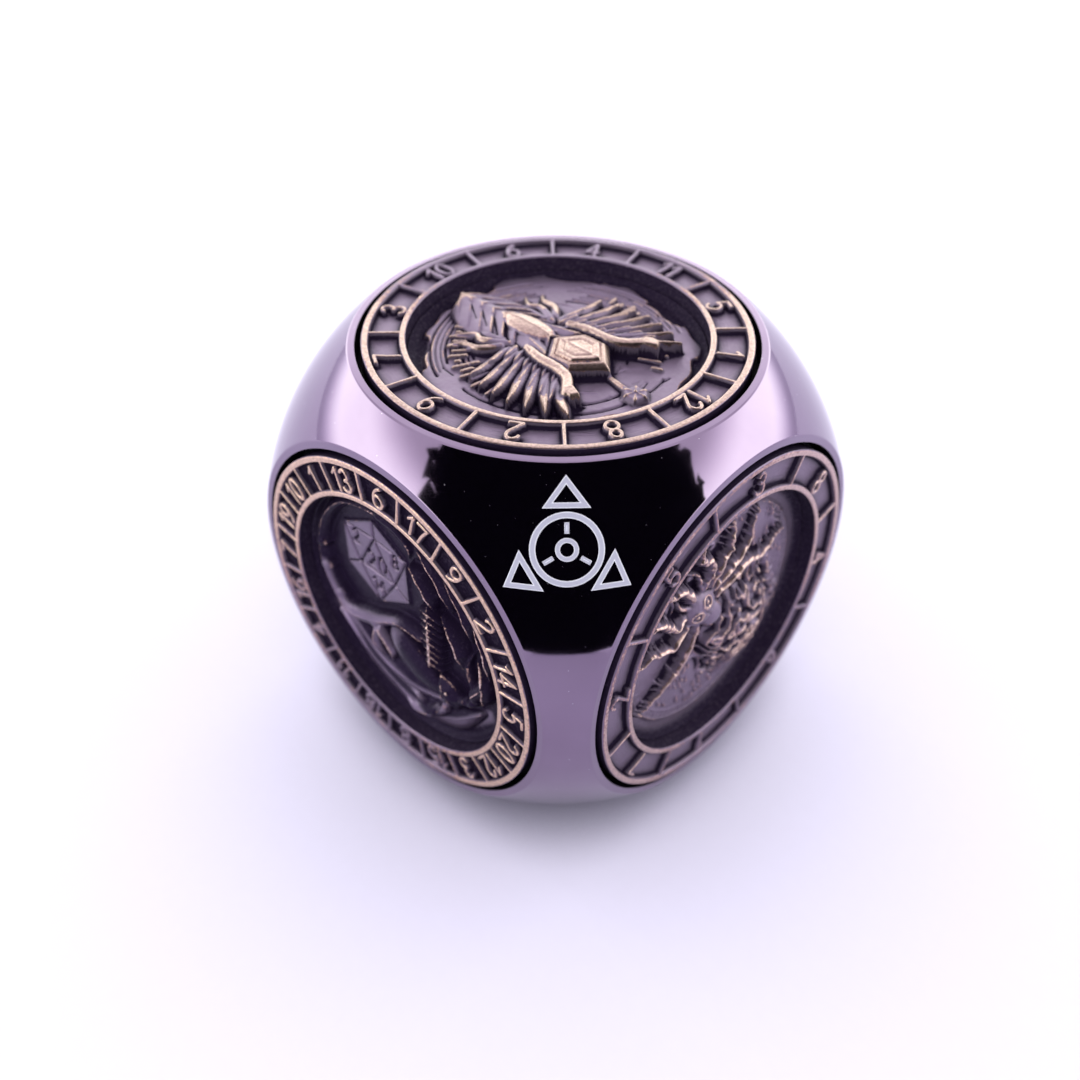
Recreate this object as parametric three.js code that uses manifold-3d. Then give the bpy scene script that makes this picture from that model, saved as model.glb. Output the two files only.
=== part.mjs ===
// A spinner die: a polished ball cut to six flats, with a dial that turns in each flat.
// Every dial stands for one die of a tabletop set, and has as many cells as that die has sides.
// A dial's hub is pressed into a small ball bearing in the body, and a cast medallion sits in its well.
// Two opposite corners of the body carry an index mark. Each marked corner lies beside three dials, so
// every dial is read at the cell that stops against one of them.
// Units are millimetres. The origin is the centre of the die, +Z is up, and -Y is the front.

import * as THREE from "three";
import { mergeVertices } from "three/addons/utils/BufferGeometryUtils.js";
import Module from "manifold-3d";

const wasm = await Module();
wasm.setup();

// ---- Driving dimensions -------------------------------------------------------------------------

const FACE = 20; // from the centre of the die to a dial's face
const BALL_RADIUS = 26.1; // the ball that the body is turned from
const DIAL_RADIUS = 16;
const DIAL_PROUD = 0.3; // a dial's face stands this far above the body's flat, so the die rests on a dial
const RUNNING_GAP = 0.5; // round a dial, and between its cup and the body
const FLOOR_GAP = 0.4; // under a dial
const SEAT_GAP = 0.05; // between pieces that are pressed or glued together

// Dial, measured down from its face and out from its axis
const RIM_WIDTH = 0.55;
const RIM_THICKNESS = 2;
const INNER_RIM_OUTSIDE = 12.9;
const WELL_RADIUS = 12.4;
const CELL_DEPTH = 0.6;
const CUP_WALL = 0.7;
const CUP_FLOOR = 1.15;
const BAR_WIDTH = 0.4; // the bars that part the cells

// Medallion
const RELIEF_DEPTH = 2; // from the dial's face down to the medallion's background
const PLATE_THICKNESS = 1;

// Ball bearing, 6 x 13 x 3.5
const BORE_RADIUS = 3;
const BEARING_RADIUS = 6.5;
const BEARING_WIDTH = 3.5;
const BALL_COUNT = 8;
const BEARING_BALL_RADIUS = 1;
const PITCH_RADIUS = 4.75; // from the bearing's axis to the centre of a ball
const GROOVE_RADIUS = 1.25;
const GROOVE_STEPS = 3; // flats across a groove
const SHOULDER_OFFSET = 0.6; // from the pitch circle to a race's shoulder
const RIBBON_THICKNESS = 0.35; // the cage that spaces the balls
const RIBBON_HEIGHT = 1;

// Hub
const SPACER_RADIUS = 4;
const SPACER_HEIGHT = 0.4;
const HUB_OVERHANG = 0.35; // the hub's end below the bearing
const HUB_POCKET_RADIUS = 4.9;
const HUB_POCKET_DEPTH = 0.7;

// Index mark, cut into the body's index corners
const MARK_DEPTH = 0.2;
const MARK_RING_OUTSIDE = 2.7;
const MARK_RING_INSIDE = 2.25;
const DART_TIP = 5.3; // from the mark's centre
const DART_FOOT = 2.95;
const DART_HALF_WIDTH = 1.75;
const DART_STROKE = 0.4;

// Number of flats on a round wall
const BODY_FACETS = 40;
const DIAL_FACETS = 32;
const BEARING_FACETS = 16;
const MARK_FACETS = 24;

// ---- Heights along a dial's axis ----------------------------------------------------------------

const FLAT = FACE - DIAL_PROUD;
const CELL_FLOOR = FACE - CELL_DEPTH;
const RIM_BOTTOM = FACE - RIM_THICKNESS;
const PLATE_TOP = FACE - RELIEF_DEPTH;
const PLATE_BOTTOM = PLATE_TOP - PLATE_THICKNESS;
const WELL_FLOOR = PLATE_BOTTOM - SEAT_GAP;
const CUP_BOTTOM = WELL_FLOOR - CUP_FLOOR;
const SPACER_BOTTOM = CUP_BOTTOM - SPACER_HEIGHT;
const BEARING_TOP = SPACER_BOTTOM - SEAT_GAP;
const BEARING_MIDDLE = BEARING_TOP - BEARING_WIDTH / 2;
const BEARING_BOTTOM = BEARING_TOP - BEARING_WIDTH;
const HUB_END = BEARING_BOTTOM - HUB_OVERHANG;

const CUP_RADIUS = WELL_RADIUS + CUP_WALL;
const CELL_OUTSIDE = DIAL_RADIUS - RIM_WIDTH;

// ---- Materials ----------------------------------------------------------------------------------

const gunmetal = new THREE.MeshStandardMaterial({ color: 0x3a3640, roughness: 0.05, metalness: 1 });
const agedBrass = new THREE.MeshStandardMaterial({ color: 0x9c7c5e, roughness: 0.38, metalness: 1 });
const darkBrass = new THREE.MeshStandardMaterial({ color: 0x5f5468, roughness: 0.42, metalness: 1 });
const bearingSteel = new THREE.MeshStandardMaterial({ color: 0xb9bcc2, roughness: 0.18, metalness: 1 });
const cageSteel = new THREE.MeshStandardMaterial({ color: 0xa08f6a, roughness: 0.3, metalness: 1 });

// ---- Solids -------------------------------------------------------------------------------------

function solidOf(geometry) {
  const bare = geometry.clone();
  bare.deleteAttribute("normal");
  bare.deleteAttribute("uv");
  const merged = mergeVertices(bare, 1e-4);
  const mesh = new wasm.Mesh({
    numProp: 3,
    vertProperties: new Float32Array(merged.getAttribute("position").array),
    triVerts: new Uint32Array(merged.index.array),
  });
  return new wasm.Manifold(mesh);
}

function geometryOf(solid) {
  const { numProp, vertProperties, triVerts } = solid.getMesh();
  const count = vertProperties.length / numProp;
  const positions = new Float32Array(count * 3);
  for (let i = 0; i < count; i++) {
    positions.set(vertProperties.subarray(i * numProp, i * numProp + 3), i * 3);
  }
  const geometry = new THREE.BufferGeometry();
  geometry.setAttribute("position", new THREE.BufferAttribute(positions, 3));
  geometry.setIndex(new THREE.BufferAttribute(new Uint32Array(triVerts), 1));
  geometry.computeVertexNormals();
  return geometry;
}

// A solid of revolution about +Z. The profile is a list of [radius, height] that runs counterclockwise.
function turned(profile, facets) {
  const points = profile.map(([radius, height]) => new THREE.Vector2(radius, height));
  return solidOf(new THREE.LatheGeometry(points, facets).rotateX(Math.PI / 2));
}

// A plain disc about +Z between two heights.
function disc(radius, bottom, top, facets) {
  return turned([[0, bottom], [radius, bottom], [radius, top], [0, top]], facets);
}

function closedRing(profile, facets) {
  return turned([...profile, profile[0]], facets);
}

function moved(geometry, matrix) {
  return solidOf(geometry.clone().applyMatrix4(matrix));
}

function joined(first, rest) {
  return rest.reduce((whole, piece) => whole.add(piece), first);
}

// ---- Medallion reliefs --------------------------------------------------------------------------
// A relief is a list of lumps and limbs on the plate, seen from outside with x to the right and y up.

// A smooth mound: half of an ellipsoid, its long side along the heading in degrees.
function lump(x, y, length, width, height, heading = 0) {
  const matrix = new THREE.Matrix4()
    .makeTranslation(x, y, PLATE_TOP)
    .multiply(new THREE.Matrix4().makeRotationZ(THREE.MathUtils.degToRad(heading)))
    .multiply(new THREE.Matrix4().makeScale(length / 2, width / 2, height));
  return moved(new THREE.SphereGeometry(1, 8, 4).rotateX(Math.PI / 2), matrix);
}

// A straight limb that tapers from one point to the next, with a diamond section.
function limb([x0, y0], [x1, y1], startWidth, endWidth) {
  const span = Math.hypot(x1 - x0, y1 - y0);
  const bar = new THREE.CylinderGeometry(endWidth / 2, startWidth / 2, span, 4);
  const matrix = new THREE.Matrix4()
    .makeTranslation((x0 + x1) / 2, (y0 + y1) / 2, PLATE_TOP)
    .multiply(new THREE.Matrix4().makeRotationZ(Math.atan2(y1 - y0, x1 - x0) - Math.PI / 2));
  return moved(bar, matrix);
}

// A limb along several points, tapering all the way.
function chain(points, startWidth, endWidth) {
  const widthAt = (i) => THREE.MathUtils.lerp(startWidth, endWidth, i / (points.length - 1));
  return points.slice(1).map((point, i) => limb(points[i], point, widthAt(i), widthAt(i + 1)));
}

// The point at a distance from the plate's centre, along a heading in degrees.
function polar(distance, heading) {
  const angle = THREE.MathUtils.degToRad(heading);
  return [distance * Math.cos(angle), distance * Math.sin(angle)];
}

// Points along an arc round a centre, its ends given as headings in degrees.
function arcPoints(cx, cy, radius, from, to, count) {
  return Array.from({ length: count + 1 }, (_, i) => {
    const [x, y] = polar(radius, THREE.MathUtils.lerp(from, to, i / count));
    return [cx + x, cy + y];
  });
}

// A creature's two sides are the same points, drawn once as they are and once mirrored.
const asDrawn = (points) => points;
const upsideDown = (points) => points.map(([x, y]) => [x, -y]);
const flipped = (points) => points.map(([x, y]) => [-x, y]);

function wyvern() {
  const arm = [[-0.5, 2], [2.6, 3.2], [5.2, 3.4], [7.4, 4.6]];
  const feathers = [0, 1, 2, 3, 4].map((i) => [[0.5 + 1.3 * i, 3.2], [2 + 1.7 * i, 7.8 - 0.5 * i]]);
  const wing = (side) => [
    ...chain(side(arm), 1.4, 1),
    ...feathers.flatMap((feather) => chain(side(feather), 1.6, 0.5)),
  ];
  const body = [lump(-2, 0, 10, 5, 1.3), lump(3.4, 0, 5, 3.6, 1.7), ...chain([[-6, 0], [-10, 0]], 2, 0.6)];
  return [...body, ...wing(asDrawn), ...wing(upsideDown)];
}

function scorpion() {
  const tail = chain(arcPoints(-3, 4.8, 6.8, -60, -215, 7), 1.7, 0.9);
  const upperLeg = (i) => [[0.6 + 1.1 * i, -0.6 - i], [3 + i, 1.6 - 0.8 * i], [3.4 + 1.1 * i, 3 - i]];
  const lowerLeg = (i) => [[0.4 + i, -1.6 - i], [i - 1, -4.2 - 0.8 * i], [i - 0.6, -6.2 - 0.7 * i]];
  const legs = [0, 1, 2].flatMap((i) => [...chain(upperLeg(i), 0.8, 0.4), ...chain(lowerLeg(i), 0.8, 0.4)]);
  const body = [lump(1.8, -1.9, 7, 3.4, 1.6, -42), lump(4.8, -4.4, 3.4, 3, 1.4, -42)];
  const badge = lump(-2.2, 4.6, 7, 7, 0.5);
  const claws = [
    ...chain([[5.4, -4], [8, -2.6], [8.8, 0.6]], 1, 1.2),
    ...chain([[4.6, -5.6], [5.2, -8.2], [3, -10]], 1, 1.2),
  ];
  return [...tail, badge, ...body, ...legs, ...claws];
}

function spider() {
  const knees = [[70, 105], [35, 62], [-12, 18], [-52, -28]];
  const leg = ([knee, foot]) => [[0, 1.4], polar(6, knee), polar(10.2, foot)];
  const legs = (side) => knees.flatMap((angles) => chain(side(leg(angles)), 0.9, 0.5));
  const body = [lump(0, 3, 3.6, 4.6, 1.4), lump(0, -3.4, 6, 7.6, 1.7)];
  return [...body, ...legs(asDrawn), ...legs(flipped)].map((piece) => piece.rotate([0, 0, 40]));
}

function serpent() {
  const coil = Array.from({ length: 19 }, (_, i) => polar(9.4 - 0.36 * i, 200 - 34 * i));
  const [headX, headY] = coil.at(-1);
  return [...chain(coil, 0.8, 2.2), lump(headX, headY, 3.6, 2.6, 1.6, 140)];
}

function bat() {
  const arm = [[1.2, 1.6], [5.4, 4.6], [9.8, 3.2]];
  const fingers = [[9, -1.4], [6.4, -3.4], [3.6, -4.2]];
  const wing = (side) => [
    ...chain(side(arm), 1.2, 0.7),
    ...fingers.flatMap((tip) => chain(side([arm[1], tip]), 1, 0.4)),
  ];
  return [lump(0, 0, 3.4, 7, 1.6), lump(0, 4.6, 3, 3, 1.5), ...wing(asDrawn), ...wing(flipped)];
}

function crab() {
  const leg = (i) => [[3.6, -0.6 - i], [7.4, -1 - 2 * i], [8.6, -3.4 - 2 * i]];
  const arm = [[3, 2], [6.6, 3.4], [6.8, 6]];
  const limbs = (side) => [
    ...chain(side(arm), 1.1, 1.1),
    ...[0, 1, 2].flatMap((i) => chain(side(leg(i)), 0.9, 0.4)),
  ];
  const claws = [lump(5.6, 7.8, 3.6, 2.6, 1.5, 90), lump(-5.6, 7.8, 3.6, 2.6, 1.5, 90)];
  return [lump(0, 0, 9.6, 6.6, 1.7), ...claws, ...limbs(asDrawn), ...limbs(flipped)];
}

// ---- Pieces of one dial, about +Z ---------------------------------------------------------------

function dialSolid(cells, turn) {
  const blank = turned(
    [
      [0, CUP_BOTTOM],
      [CUP_RADIUS, CUP_BOTTOM],
      [CUP_RADIUS, RIM_BOTTOM],
      [DIAL_RADIUS, RIM_BOTTOM],
      [DIAL_RADIUS, FACE],
      [CELL_OUTSIDE, FACE],
      [CELL_OUTSIDE, CELL_FLOOR],
      [INNER_RIM_OUTSIDE, CELL_FLOOR],
      [INNER_RIM_OUTSIDE, FACE],
      [WELL_RADIUS, FACE],
      [WELL_RADIUS, WELL_FLOOR],
      [0, WELL_FLOOR],
    ],
    DIAL_FACETS,
  );
  // The hub runs up into the cup's floor, so that the two are one piece.
  const hubTop = (CUP_BOTTOM + WELL_FLOOR) / 2;
  const hub = turned(
    [
      [0, HUB_END],
      [BORE_RADIUS - SEAT_GAP, HUB_END],
      [BORE_RADIUS - SEAT_GAP, SPACER_BOTTOM],
      [SPACER_RADIUS, SPACER_BOTTOM],
      [SPACER_RADIUS, hubTop],
      [0, hubTop],
    ],
    BEARING_FACETS,
  );
  return joined(blank.add(hub), barSolids(cells, turn));
}

// The bars between the cells, each let into both rims.
function barSolids(cells, turn) {
  const length = CELL_OUTSIDE - INNER_RIM_OUTSIDE + RIM_WIDTH;
  const middle = (CELL_OUTSIDE + INNER_RIM_OUTSIDE) / 2;
  return Array.from({ length: cells }, (_, i) => {
    const angle = Math.PI / 2 - THREE.MathUtils.degToRad(turn) - (2 * Math.PI * (i + 0.5)) / cells;
    const matrix = new THREE.Matrix4()
      .makeRotationZ(angle)
      .multiply(new THREE.Matrix4().makeTranslation(middle, 0, (CELL_FLOOR + FACE) / 2));
    return moved(new THREE.BoxGeometry(length, BAR_WIDTH, CELL_DEPTH), matrix);
  });
}

function medallionSolid(relief) {
  const radius = WELL_RADIUS - 2 * SEAT_GAP;
  const plate = disc(radius, PLATE_BOTTOM, PLATE_TOP, DIAL_FACETS);
  // Whatever a relief has below the plate's face or beyond its edge is trimmed off.
  const room = disc(radius, (PLATE_BOTTOM + PLATE_TOP) / 2, FACE, DIAL_FACETS);
  return joined(plate, relief().map((piece) => piece.intersect(room)));
}

// A race's groove from bottom to top, on the outer (1) or the inner (-1) side of the pitch circle.
function groove(side) {
  const half = Math.acos(SHOULDER_OFFSET / GROOVE_RADIUS);
  return Array.from({ length: GROOVE_STEPS + 1 }, (_, i) => {
    const angle = THREE.MathUtils.lerp(-half, half, i / GROOVE_STEPS);
    const radius = PITCH_RADIUS + side * GROOVE_RADIUS * Math.cos(angle);
    return [radius, BEARING_MIDDLE + GROOVE_RADIUS * Math.sin(angle)];
  });
}

function innerRaceSolid() {
  const shoulder = PITCH_RADIUS - SHOULDER_OFFSET;
  return closedRing(
    [
      [BORE_RADIUS, BEARING_BOTTOM],
      [shoulder, BEARING_BOTTOM],
      ...groove(-1),
      [shoulder, BEARING_TOP],
      [BORE_RADIUS, BEARING_TOP],
    ],
    BEARING_FACETS,
  );
}

function outerRaceSolid() {
  const shoulder = PITCH_RADIUS + SHOULDER_OFFSET;
  return closedRing(
    [
      [shoulder, BEARING_BOTTOM],
      [BEARING_RADIUS, BEARING_BOTTOM],
      [BEARING_RADIUS, BEARING_TOP],
      [shoulder, BEARING_TOP],
      ...groove(1).reverse(),
    ],
    BEARING_FACETS,
  );
}

// The balls and the ribbon between them, as one piece, because they go round together.
function ballCageSolid() {
  const step = (2 * Math.PI) / BALL_COUNT;
  const chordLength = 2 * PITCH_RADIUS * Math.sin(step / 2);
  const chordRadius = PITCH_RADIUS * Math.cos(step / 2);
  const balls = Array.from({ length: BALL_COUNT }, (_, i) => {
    const place = new THREE.Matrix4()
      .makeRotationZ(i * step)
      .multiply(new THREE.Matrix4().makeTranslation(PITCH_RADIUS, 0, BEARING_MIDDLE));
    return moved(new THREE.OctahedronGeometry(BEARING_BALL_RADIUS, 1), place);
  });
  // Each length of ribbon runs from well inside one ball to well inside the next.
  const ribbonLength = chordLength - BEARING_BALL_RADIUS;
  const ribbons = Array.from({ length: BALL_COUNT }, (_, i) => {
    const place = new THREE.Matrix4()
      .makeRotationZ((i + 0.5) * step)
      .multiply(new THREE.Matrix4().makeTranslation(chordRadius, 0, BEARING_MIDDLE));
    return moved(new THREE.BoxGeometry(RIBBON_THICKNESS, ribbonLength, RIBBON_HEIGHT), place);
  });
  return joined(balls[0], [...balls.slice(1), ...ribbons]);
}

// ---- Body ---------------------------------------------------------------------------------------

// What is cut from the body for one dial: its seat, then pockets for its cup, its bearing and its hub.
function pocketSolids() {
  const above = BALL_RADIUS;
  const seatFloor = RIM_BOTTOM - RUNNING_GAP;
  const cupFloor = CUP_BOTTOM - FLOOR_GAP;
  const bearingFloor = BEARING_BOTTOM - SEAT_GAP;
  return [
    disc(DIAL_RADIUS + RUNNING_GAP, seatFloor, above, BODY_FACETS),
    disc(CUP_RADIUS + RUNNING_GAP, cupFloor, above, DIAL_FACETS),
    disc(BEARING_RADIUS + SEAT_GAP, bearingFloor, above, BEARING_FACETS),
    disc(HUB_POCKET_RADIUS, bearingFloor - HUB_POCKET_DEPTH, above, BEARING_FACETS),
  ];
}

function dartPoints(tip, foot, halfWidth) {
  return [new THREE.Vector2(0, tip), new THREE.Vector2(-halfWidth, foot), new THREE.Vector2(halfWidth, foot)];
}

// A ring with three hollow darts, about +Z, one dart for each dial beside the corner.
function indexMarkSolid() {
  const bottom = BALL_RADIUS - 2;
  const top = BALL_RADIUS + 1;
  const ring = closedRing(
    [
      [MARK_RING_INSIDE, bottom],
      [MARK_RING_OUTSIDE, bottom],
      [MARK_RING_OUTSIDE, top],
      [MARK_RING_INSIDE, top],
    ],
    MARK_FACETS,
  );
  // Moving a triangle's sides in by the stroke takes this much off each end of it.
  const side = Math.hypot(DART_TIP - DART_FOOT, DART_HALF_WIDTH);
  const tipInset = (DART_STROKE * side) / DART_HALF_WIDTH;
  const footInset = (DART_STROKE * (side + DART_HALF_WIDTH)) / (DART_TIP - DART_FOOT);
  const outline = new THREE.Shape(dartPoints(DART_TIP, DART_FOOT, DART_HALF_WIDTH));
  outline.holes.push(
    new THREE.Path(dartPoints(DART_TIP - tipInset, DART_FOOT + DART_STROKE, DART_HALF_WIDTH - footInset)),
  );
  const dart = new THREE.ExtrudeGeometry(outline, { depth: top - bottom, bevelEnabled: false });
  const darts = [0, 120, 240].map((angle) => solidOf(dart).translate([0, 0, bottom]).rotate([0, 0, angle]));
  return joined(ring, darts);
}

// The matrix that carries +Z to a corner, and +Y towards the face above or below it.
function cornerMatrix(corner) {
  const out = new THREE.Vector3(...corner).normalize();
  const up = new THREE.Vector3(0, 0, Math.sign(corner[2]));
  const right = new THREE.Vector3().crossVectors(up, out).normalize();
  return new THREE.Matrix4().makeBasis(right, new THREE.Vector3().crossVectors(out, right), out);
}

function ballSolid(radius) {
  return solidOf(new THREE.SphereGeometry(radius, BODY_FACETS, BODY_FACETS / 2).rotateX(Math.PI / 2));
}

function bodySolid() {
  const block = solidOf(new THREE.BoxGeometry(2 * FLAT, 2 * FLAT, 2 * FLAT));
  let body = ballSolid(BALL_RADIUS).intersect(block);
  for (const face of FACES) {
    for (const pocket of pocketSolids()) {
      body = body.subtract(pocket.transform(faceMatrix(face).elements));
    }
  }
  // The marks are cut to one depth all over, down to a slightly smaller ball.
  const markFloor = ballSolid(BALL_RADIUS - MARK_DEPTH);
  for (const corner of INDEX_CORNERS) {
    const mark = indexMarkSolid().transform(cornerMatrix(corner).elements);
    body = body.subtract(mark.subtract(markFloor));
  }
  return body;
}

// ---- The die ------------------------------------------------------------------------------------

const INDEX_CORNERS = [[1, -1, 1], [-1, 1, -1]];

// One entry for each face. out is the way it faces, up is the way its artwork stands, cells is how many
// cells its dial has, and turn is how far the dial is turned clockwise, in degrees.
const FACES = [
  { name: "d12", out: [0, 0, 1], up: [0, 1, 0], cells: 12, turn: 0, relief: wyvern },
  { name: "d20", out: [0, -1, 0], up: [0, 0, 1], cells: 20, turn: 0, relief: scorpion },
  { name: "d8", out: [1, 0, 0], up: [0, 0, 1], cells: 8, turn: 7, relief: spider },
  { name: "d10", out: [0, 0, -1], up: [0, 1, 0], cells: 10, turn: 0, relief: serpent },
  { name: "d6", out: [-1, 0, 0], up: [0, 0, 1], cells: 6, turn: 0, relief: bat },
  { name: "d4", out: [0, 1, 0], up: [0, 0, 1], cells: 4, turn: 0, relief: crab },
];

function faceMatrix({ out, up }) {
  const outward = new THREE.Vector3(...out);
  const upward = new THREE.Vector3(...up);
  return new THREE.Matrix4().makeBasis(new THREE.Vector3().crossVectors(upward, outward), upward, outward);
}

function piece(name, solid, material) {
  const mesh = new THREE.Mesh(geometryOf(solid), material);
  mesh.name = name;
  return mesh;
}

const spinnerDie = new THREE.Group();
spinnerDie.add(piece("body", bodySolid(), gunmetal));
for (const face of FACES) {
  const unit = new THREE.Group();
  unit.add(
    piece(`dial_${face.name}`, dialSolid(face.cells, face.turn), agedBrass),
    piece(`medallion_${face.name}`, medallionSolid(face.relief), darkBrass),
    piece(`inner_race_${face.name}`, innerRaceSolid(), bearingSteel),
    piece(`outer_race_${face.name}`, outerRaceSolid(), bearingSteel),
    piece(`ball_cage_${face.name}`, ballCageSolid(), cageSteel),
  );
  unit.applyMatrix4(faceMatrix(face));
  spinnerDie.add(unit);
}

export default spinnerDie;
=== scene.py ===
"""Looks of the spinner die: a polished black-nickel body, six aged-brass number dials and cast medallions.

Lengths are in millimetres until a mesh is made. A face's own frame has x to the right and y up, seen from
outside, and z out of the body along the dial's axis. Wear, grime (dark patina and painted shade in
hollows, on walls and undersides) and tarnish (painted shade on part of a rim) are values from 0 to 1.
"""

import math
from collections import namedtuple

import bpy
import numpy as np
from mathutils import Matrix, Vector


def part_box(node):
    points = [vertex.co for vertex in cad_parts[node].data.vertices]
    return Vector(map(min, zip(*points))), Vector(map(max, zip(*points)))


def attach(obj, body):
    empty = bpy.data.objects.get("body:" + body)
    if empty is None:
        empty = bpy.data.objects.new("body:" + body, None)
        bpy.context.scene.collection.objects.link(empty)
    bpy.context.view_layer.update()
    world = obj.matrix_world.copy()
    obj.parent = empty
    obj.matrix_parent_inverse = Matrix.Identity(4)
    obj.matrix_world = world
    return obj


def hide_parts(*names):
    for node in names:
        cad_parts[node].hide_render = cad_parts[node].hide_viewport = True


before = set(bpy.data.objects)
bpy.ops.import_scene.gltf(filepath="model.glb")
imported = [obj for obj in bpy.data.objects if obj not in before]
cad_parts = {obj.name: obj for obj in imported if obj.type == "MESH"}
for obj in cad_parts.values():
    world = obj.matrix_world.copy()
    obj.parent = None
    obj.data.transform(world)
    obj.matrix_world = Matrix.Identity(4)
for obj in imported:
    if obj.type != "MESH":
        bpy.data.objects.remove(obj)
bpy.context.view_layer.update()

MM = 0.001

# ---- Sizes, read from the frame where it holds them ----

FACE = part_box("dial_d12")[1].z / MM
DIAL_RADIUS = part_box("dial_d12")[1].x / MM
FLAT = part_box("body")[1].z / MM
PLATE_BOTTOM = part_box("medallion_d12")[0].z / MM
HUB_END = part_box("dial_d12")[0].z / MM
BALL_RADIUS = 26.1

RIM_WIDTH = 0.55
RIM_THICKNESS = 2.0
INNER_RIM_OUTSIDE = 12.9
WELL_RADIUS = 12.4
CELL_DEPTH = 0.6
BAR_WIDTH = 0.28
CUP_RADIUS = 13.1
WELL_FLOOR = PLATE_BOTTOM - 0.05
CUP_BOTTOM = WELL_FLOOR - 1.15
BOSS_RADIUS = 4.0
BOSS_BOTTOM = CUP_BOTTOM - 0.4
HUB_RADIUS = 2.95
LAST_RING = 0.5  # radius of the ring that a fan closes
ROUNDING = 0.13  # how far down the dial's rounded edges reach
DIGIT_HEIGHT = 1.98  # from the middle of its lowest stroke to the middle of its highest
DIGIT_REACH = 0.14  # half the angle that a number may take up, in radians
STROKE = 0.14  # half the width of a digit's stroke

MEDALLION_RADIUS = WELL_RADIUS - 0.1
PLATE_TOP = PLATE_BOTTOM + 1.0
RELIEF_LIMIT = FACE - PLATE_TOP - 0.08
PLATE_BEVEL = 0.03

SEAT_RADIUS = 16.5
SEAT_BEVEL = 0.06
SEAT_FLOOR = FACE - RIM_THICKNESS - 0.5
POCKET_RADIUS = 13.6
POCKET_FLOOR = CUP_BOTTOM - 0.4
BEARING_RADIUS = 6.55
BEARING_FLOOR = 11.8
BORE_RADIUS = 4.9
BORE_FLOOR = 11.1
LIP_ROUNDING = 0.1  # how far the ball stays clear of a flat's sharp edge

DART_TIP = 5.3
DART_FOOT = 2.95
DART_HALF_WIDTH = 1.75
DART_STROKE = 0.4
MARK_RISE = 0.012
MARK_SINK = 0.05

DIAL_COLUMNS = 1440
UNDER_COLUMNS = 180
BODY_COLUMNS = 384
BALL_ROWS = 14


# ---- Mesh making ----

def mesh_object(name, points, corners, sizes, **values):
    """An object with a smooth mesh, from points, the faces' corners and sizes, and values of the points."""
    mesh = bpy.data.meshes.new(name)
    mesh.vertices.add(len(points))
    mesh.vertices.foreach_set("co", (points * MM).astype(np.float32).reshape(-1))
    mesh.loops.add(len(corners))
    mesh.loops.foreach_set("vertex_index", corners.astype(np.int32))
    mesh.polygons.add(len(sizes))
    mesh.polygons.foreach_set("loop_start", np.concatenate([[0], np.cumsum(sizes)[:-1]]).astype(np.int32))
    mesh.polygons.foreach_set("use_smooth", np.ones(len(sizes), bool))
    mesh.update(calc_edges=True)
    for key, value in values.items():
        mesh.attributes.new(key, "FLOAT", "POINT").data.foreach_set("value", value.astype(np.float32))
    return bpy.data.objects.new(name, mesh)


class Shell:
    """Collects points, faces and point values, then makes one mesh of them."""

    def __init__(self):
        self.points = []
        self.count = 0
        self.quads = []
        self.others = []
        self.values = {"wear": [], "grime": []}

    def add(self, points, **values):
        """Adds points, and returns their numbers in the same arrangement."""
        shape = points.shape[:-1]
        self.points.append(points.reshape(-1, 3))
        for name, parts in self.values.items():
            parts.append(np.broadcast_to(np.asarray(values.get(name, 0.0), float), shape).reshape(-1))
        size = math.prod(shape)
        self.count += size
        return np.arange(self.count - size, self.count).reshape(shape)

    def grid(self, numbers, closed=False):
        """Faces between the rows of an array of point numbers. closed joins the last column to the first."""
        if closed:
            numbers = np.concatenate([numbers, numbers[:, :1]], axis=1)
        a, b = numbers[:-1], numbers[1:]
        self.quads.append(np.stack([a[:, :-1], a[:, 1:], b[:, 1:], b[:, :-1]], axis=-1).reshape(-1, 4))

    def step(self, many, few, over=False):
        """Joins a closed row of many points to a closed row of few. over turns the faces over."""
        share = len(many) // len(few)
        for i in range(len(few)):
            face = [int(many[(i * share + k) % len(many)]) for k in range(share + 1)]
            face += [int(few[(i + 1) % len(few)]), int(few[i])]
            self.others.append(face[::-1] if over else face)

    def fan(self, row, height, over=False):
        """Joins a closed row to a new point on the axis."""
        centre = int(self.add(np.array([[0.0, 0.0, height]]))[0])
        for i in range(len(row)):
            face = [int(row[i]), int(row[(i + 1) % len(row)]), centre]
            self.others.append(face[::-1] if over else face)

    def flip(self):
        self.quads = [quad[:, ::-1] for quad in self.quads]
        self.others = [face[::-1] for face in self.others]

    def make(self, name, axes):
        quads = np.concatenate(self.quads)
        sizes = np.concatenate([np.full(len(quads), 4), [len(face) for face in self.others]])
        corners = np.concatenate([quads.reshape(-1)] + [np.array(face) for face in self.others])
        values = {key: np.concatenate(parts) for key, parts in self.values.items()}
        return mesh_object(name, np.concatenate(self.points) @ axes, corners, sizes, **values)


def face_axes(face):
    """Rows that carry a face's own x, y and z to the object's axes."""
    out, up = np.array(face.out, float), np.array(face.up, float)
    return np.stack([np.cross(up, out), up, out])


def creased(profile, width=0.03):
    """The profile with each inner corner cut to a tiny bevel, so that smooth shading stays crisp there."""
    points = [np.array(p, float) for p in profile]
    result = [points[0]]
    for before, corner, after in zip(points, points[1:], points[2:]):
        for way in (before - corner, after - corner):
            result.append(corner + way / np.linalg.norm(way) * width)
    return np.array(result + [points[-1]])


def around(radius, height, columns):
    """Points round the axis, clockwise from up. radius and height may have a row for each ring."""
    angle = np.arange(columns) * 2 * math.pi / columns
    return np.stack([radius * np.sin(angle), radius * np.cos(angle), height + 0 * angle], axis=-1)


def smooth(low, high, value):
    t = np.clip((value - low) / (high - low), 0, 1)
    return t * t * (3 - 2 * t)


def bump_at(value, middle, width):
    """A soft bump, 1 at the middle."""
    return np.exp(-((value - middle) / width) ** 2)


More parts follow.
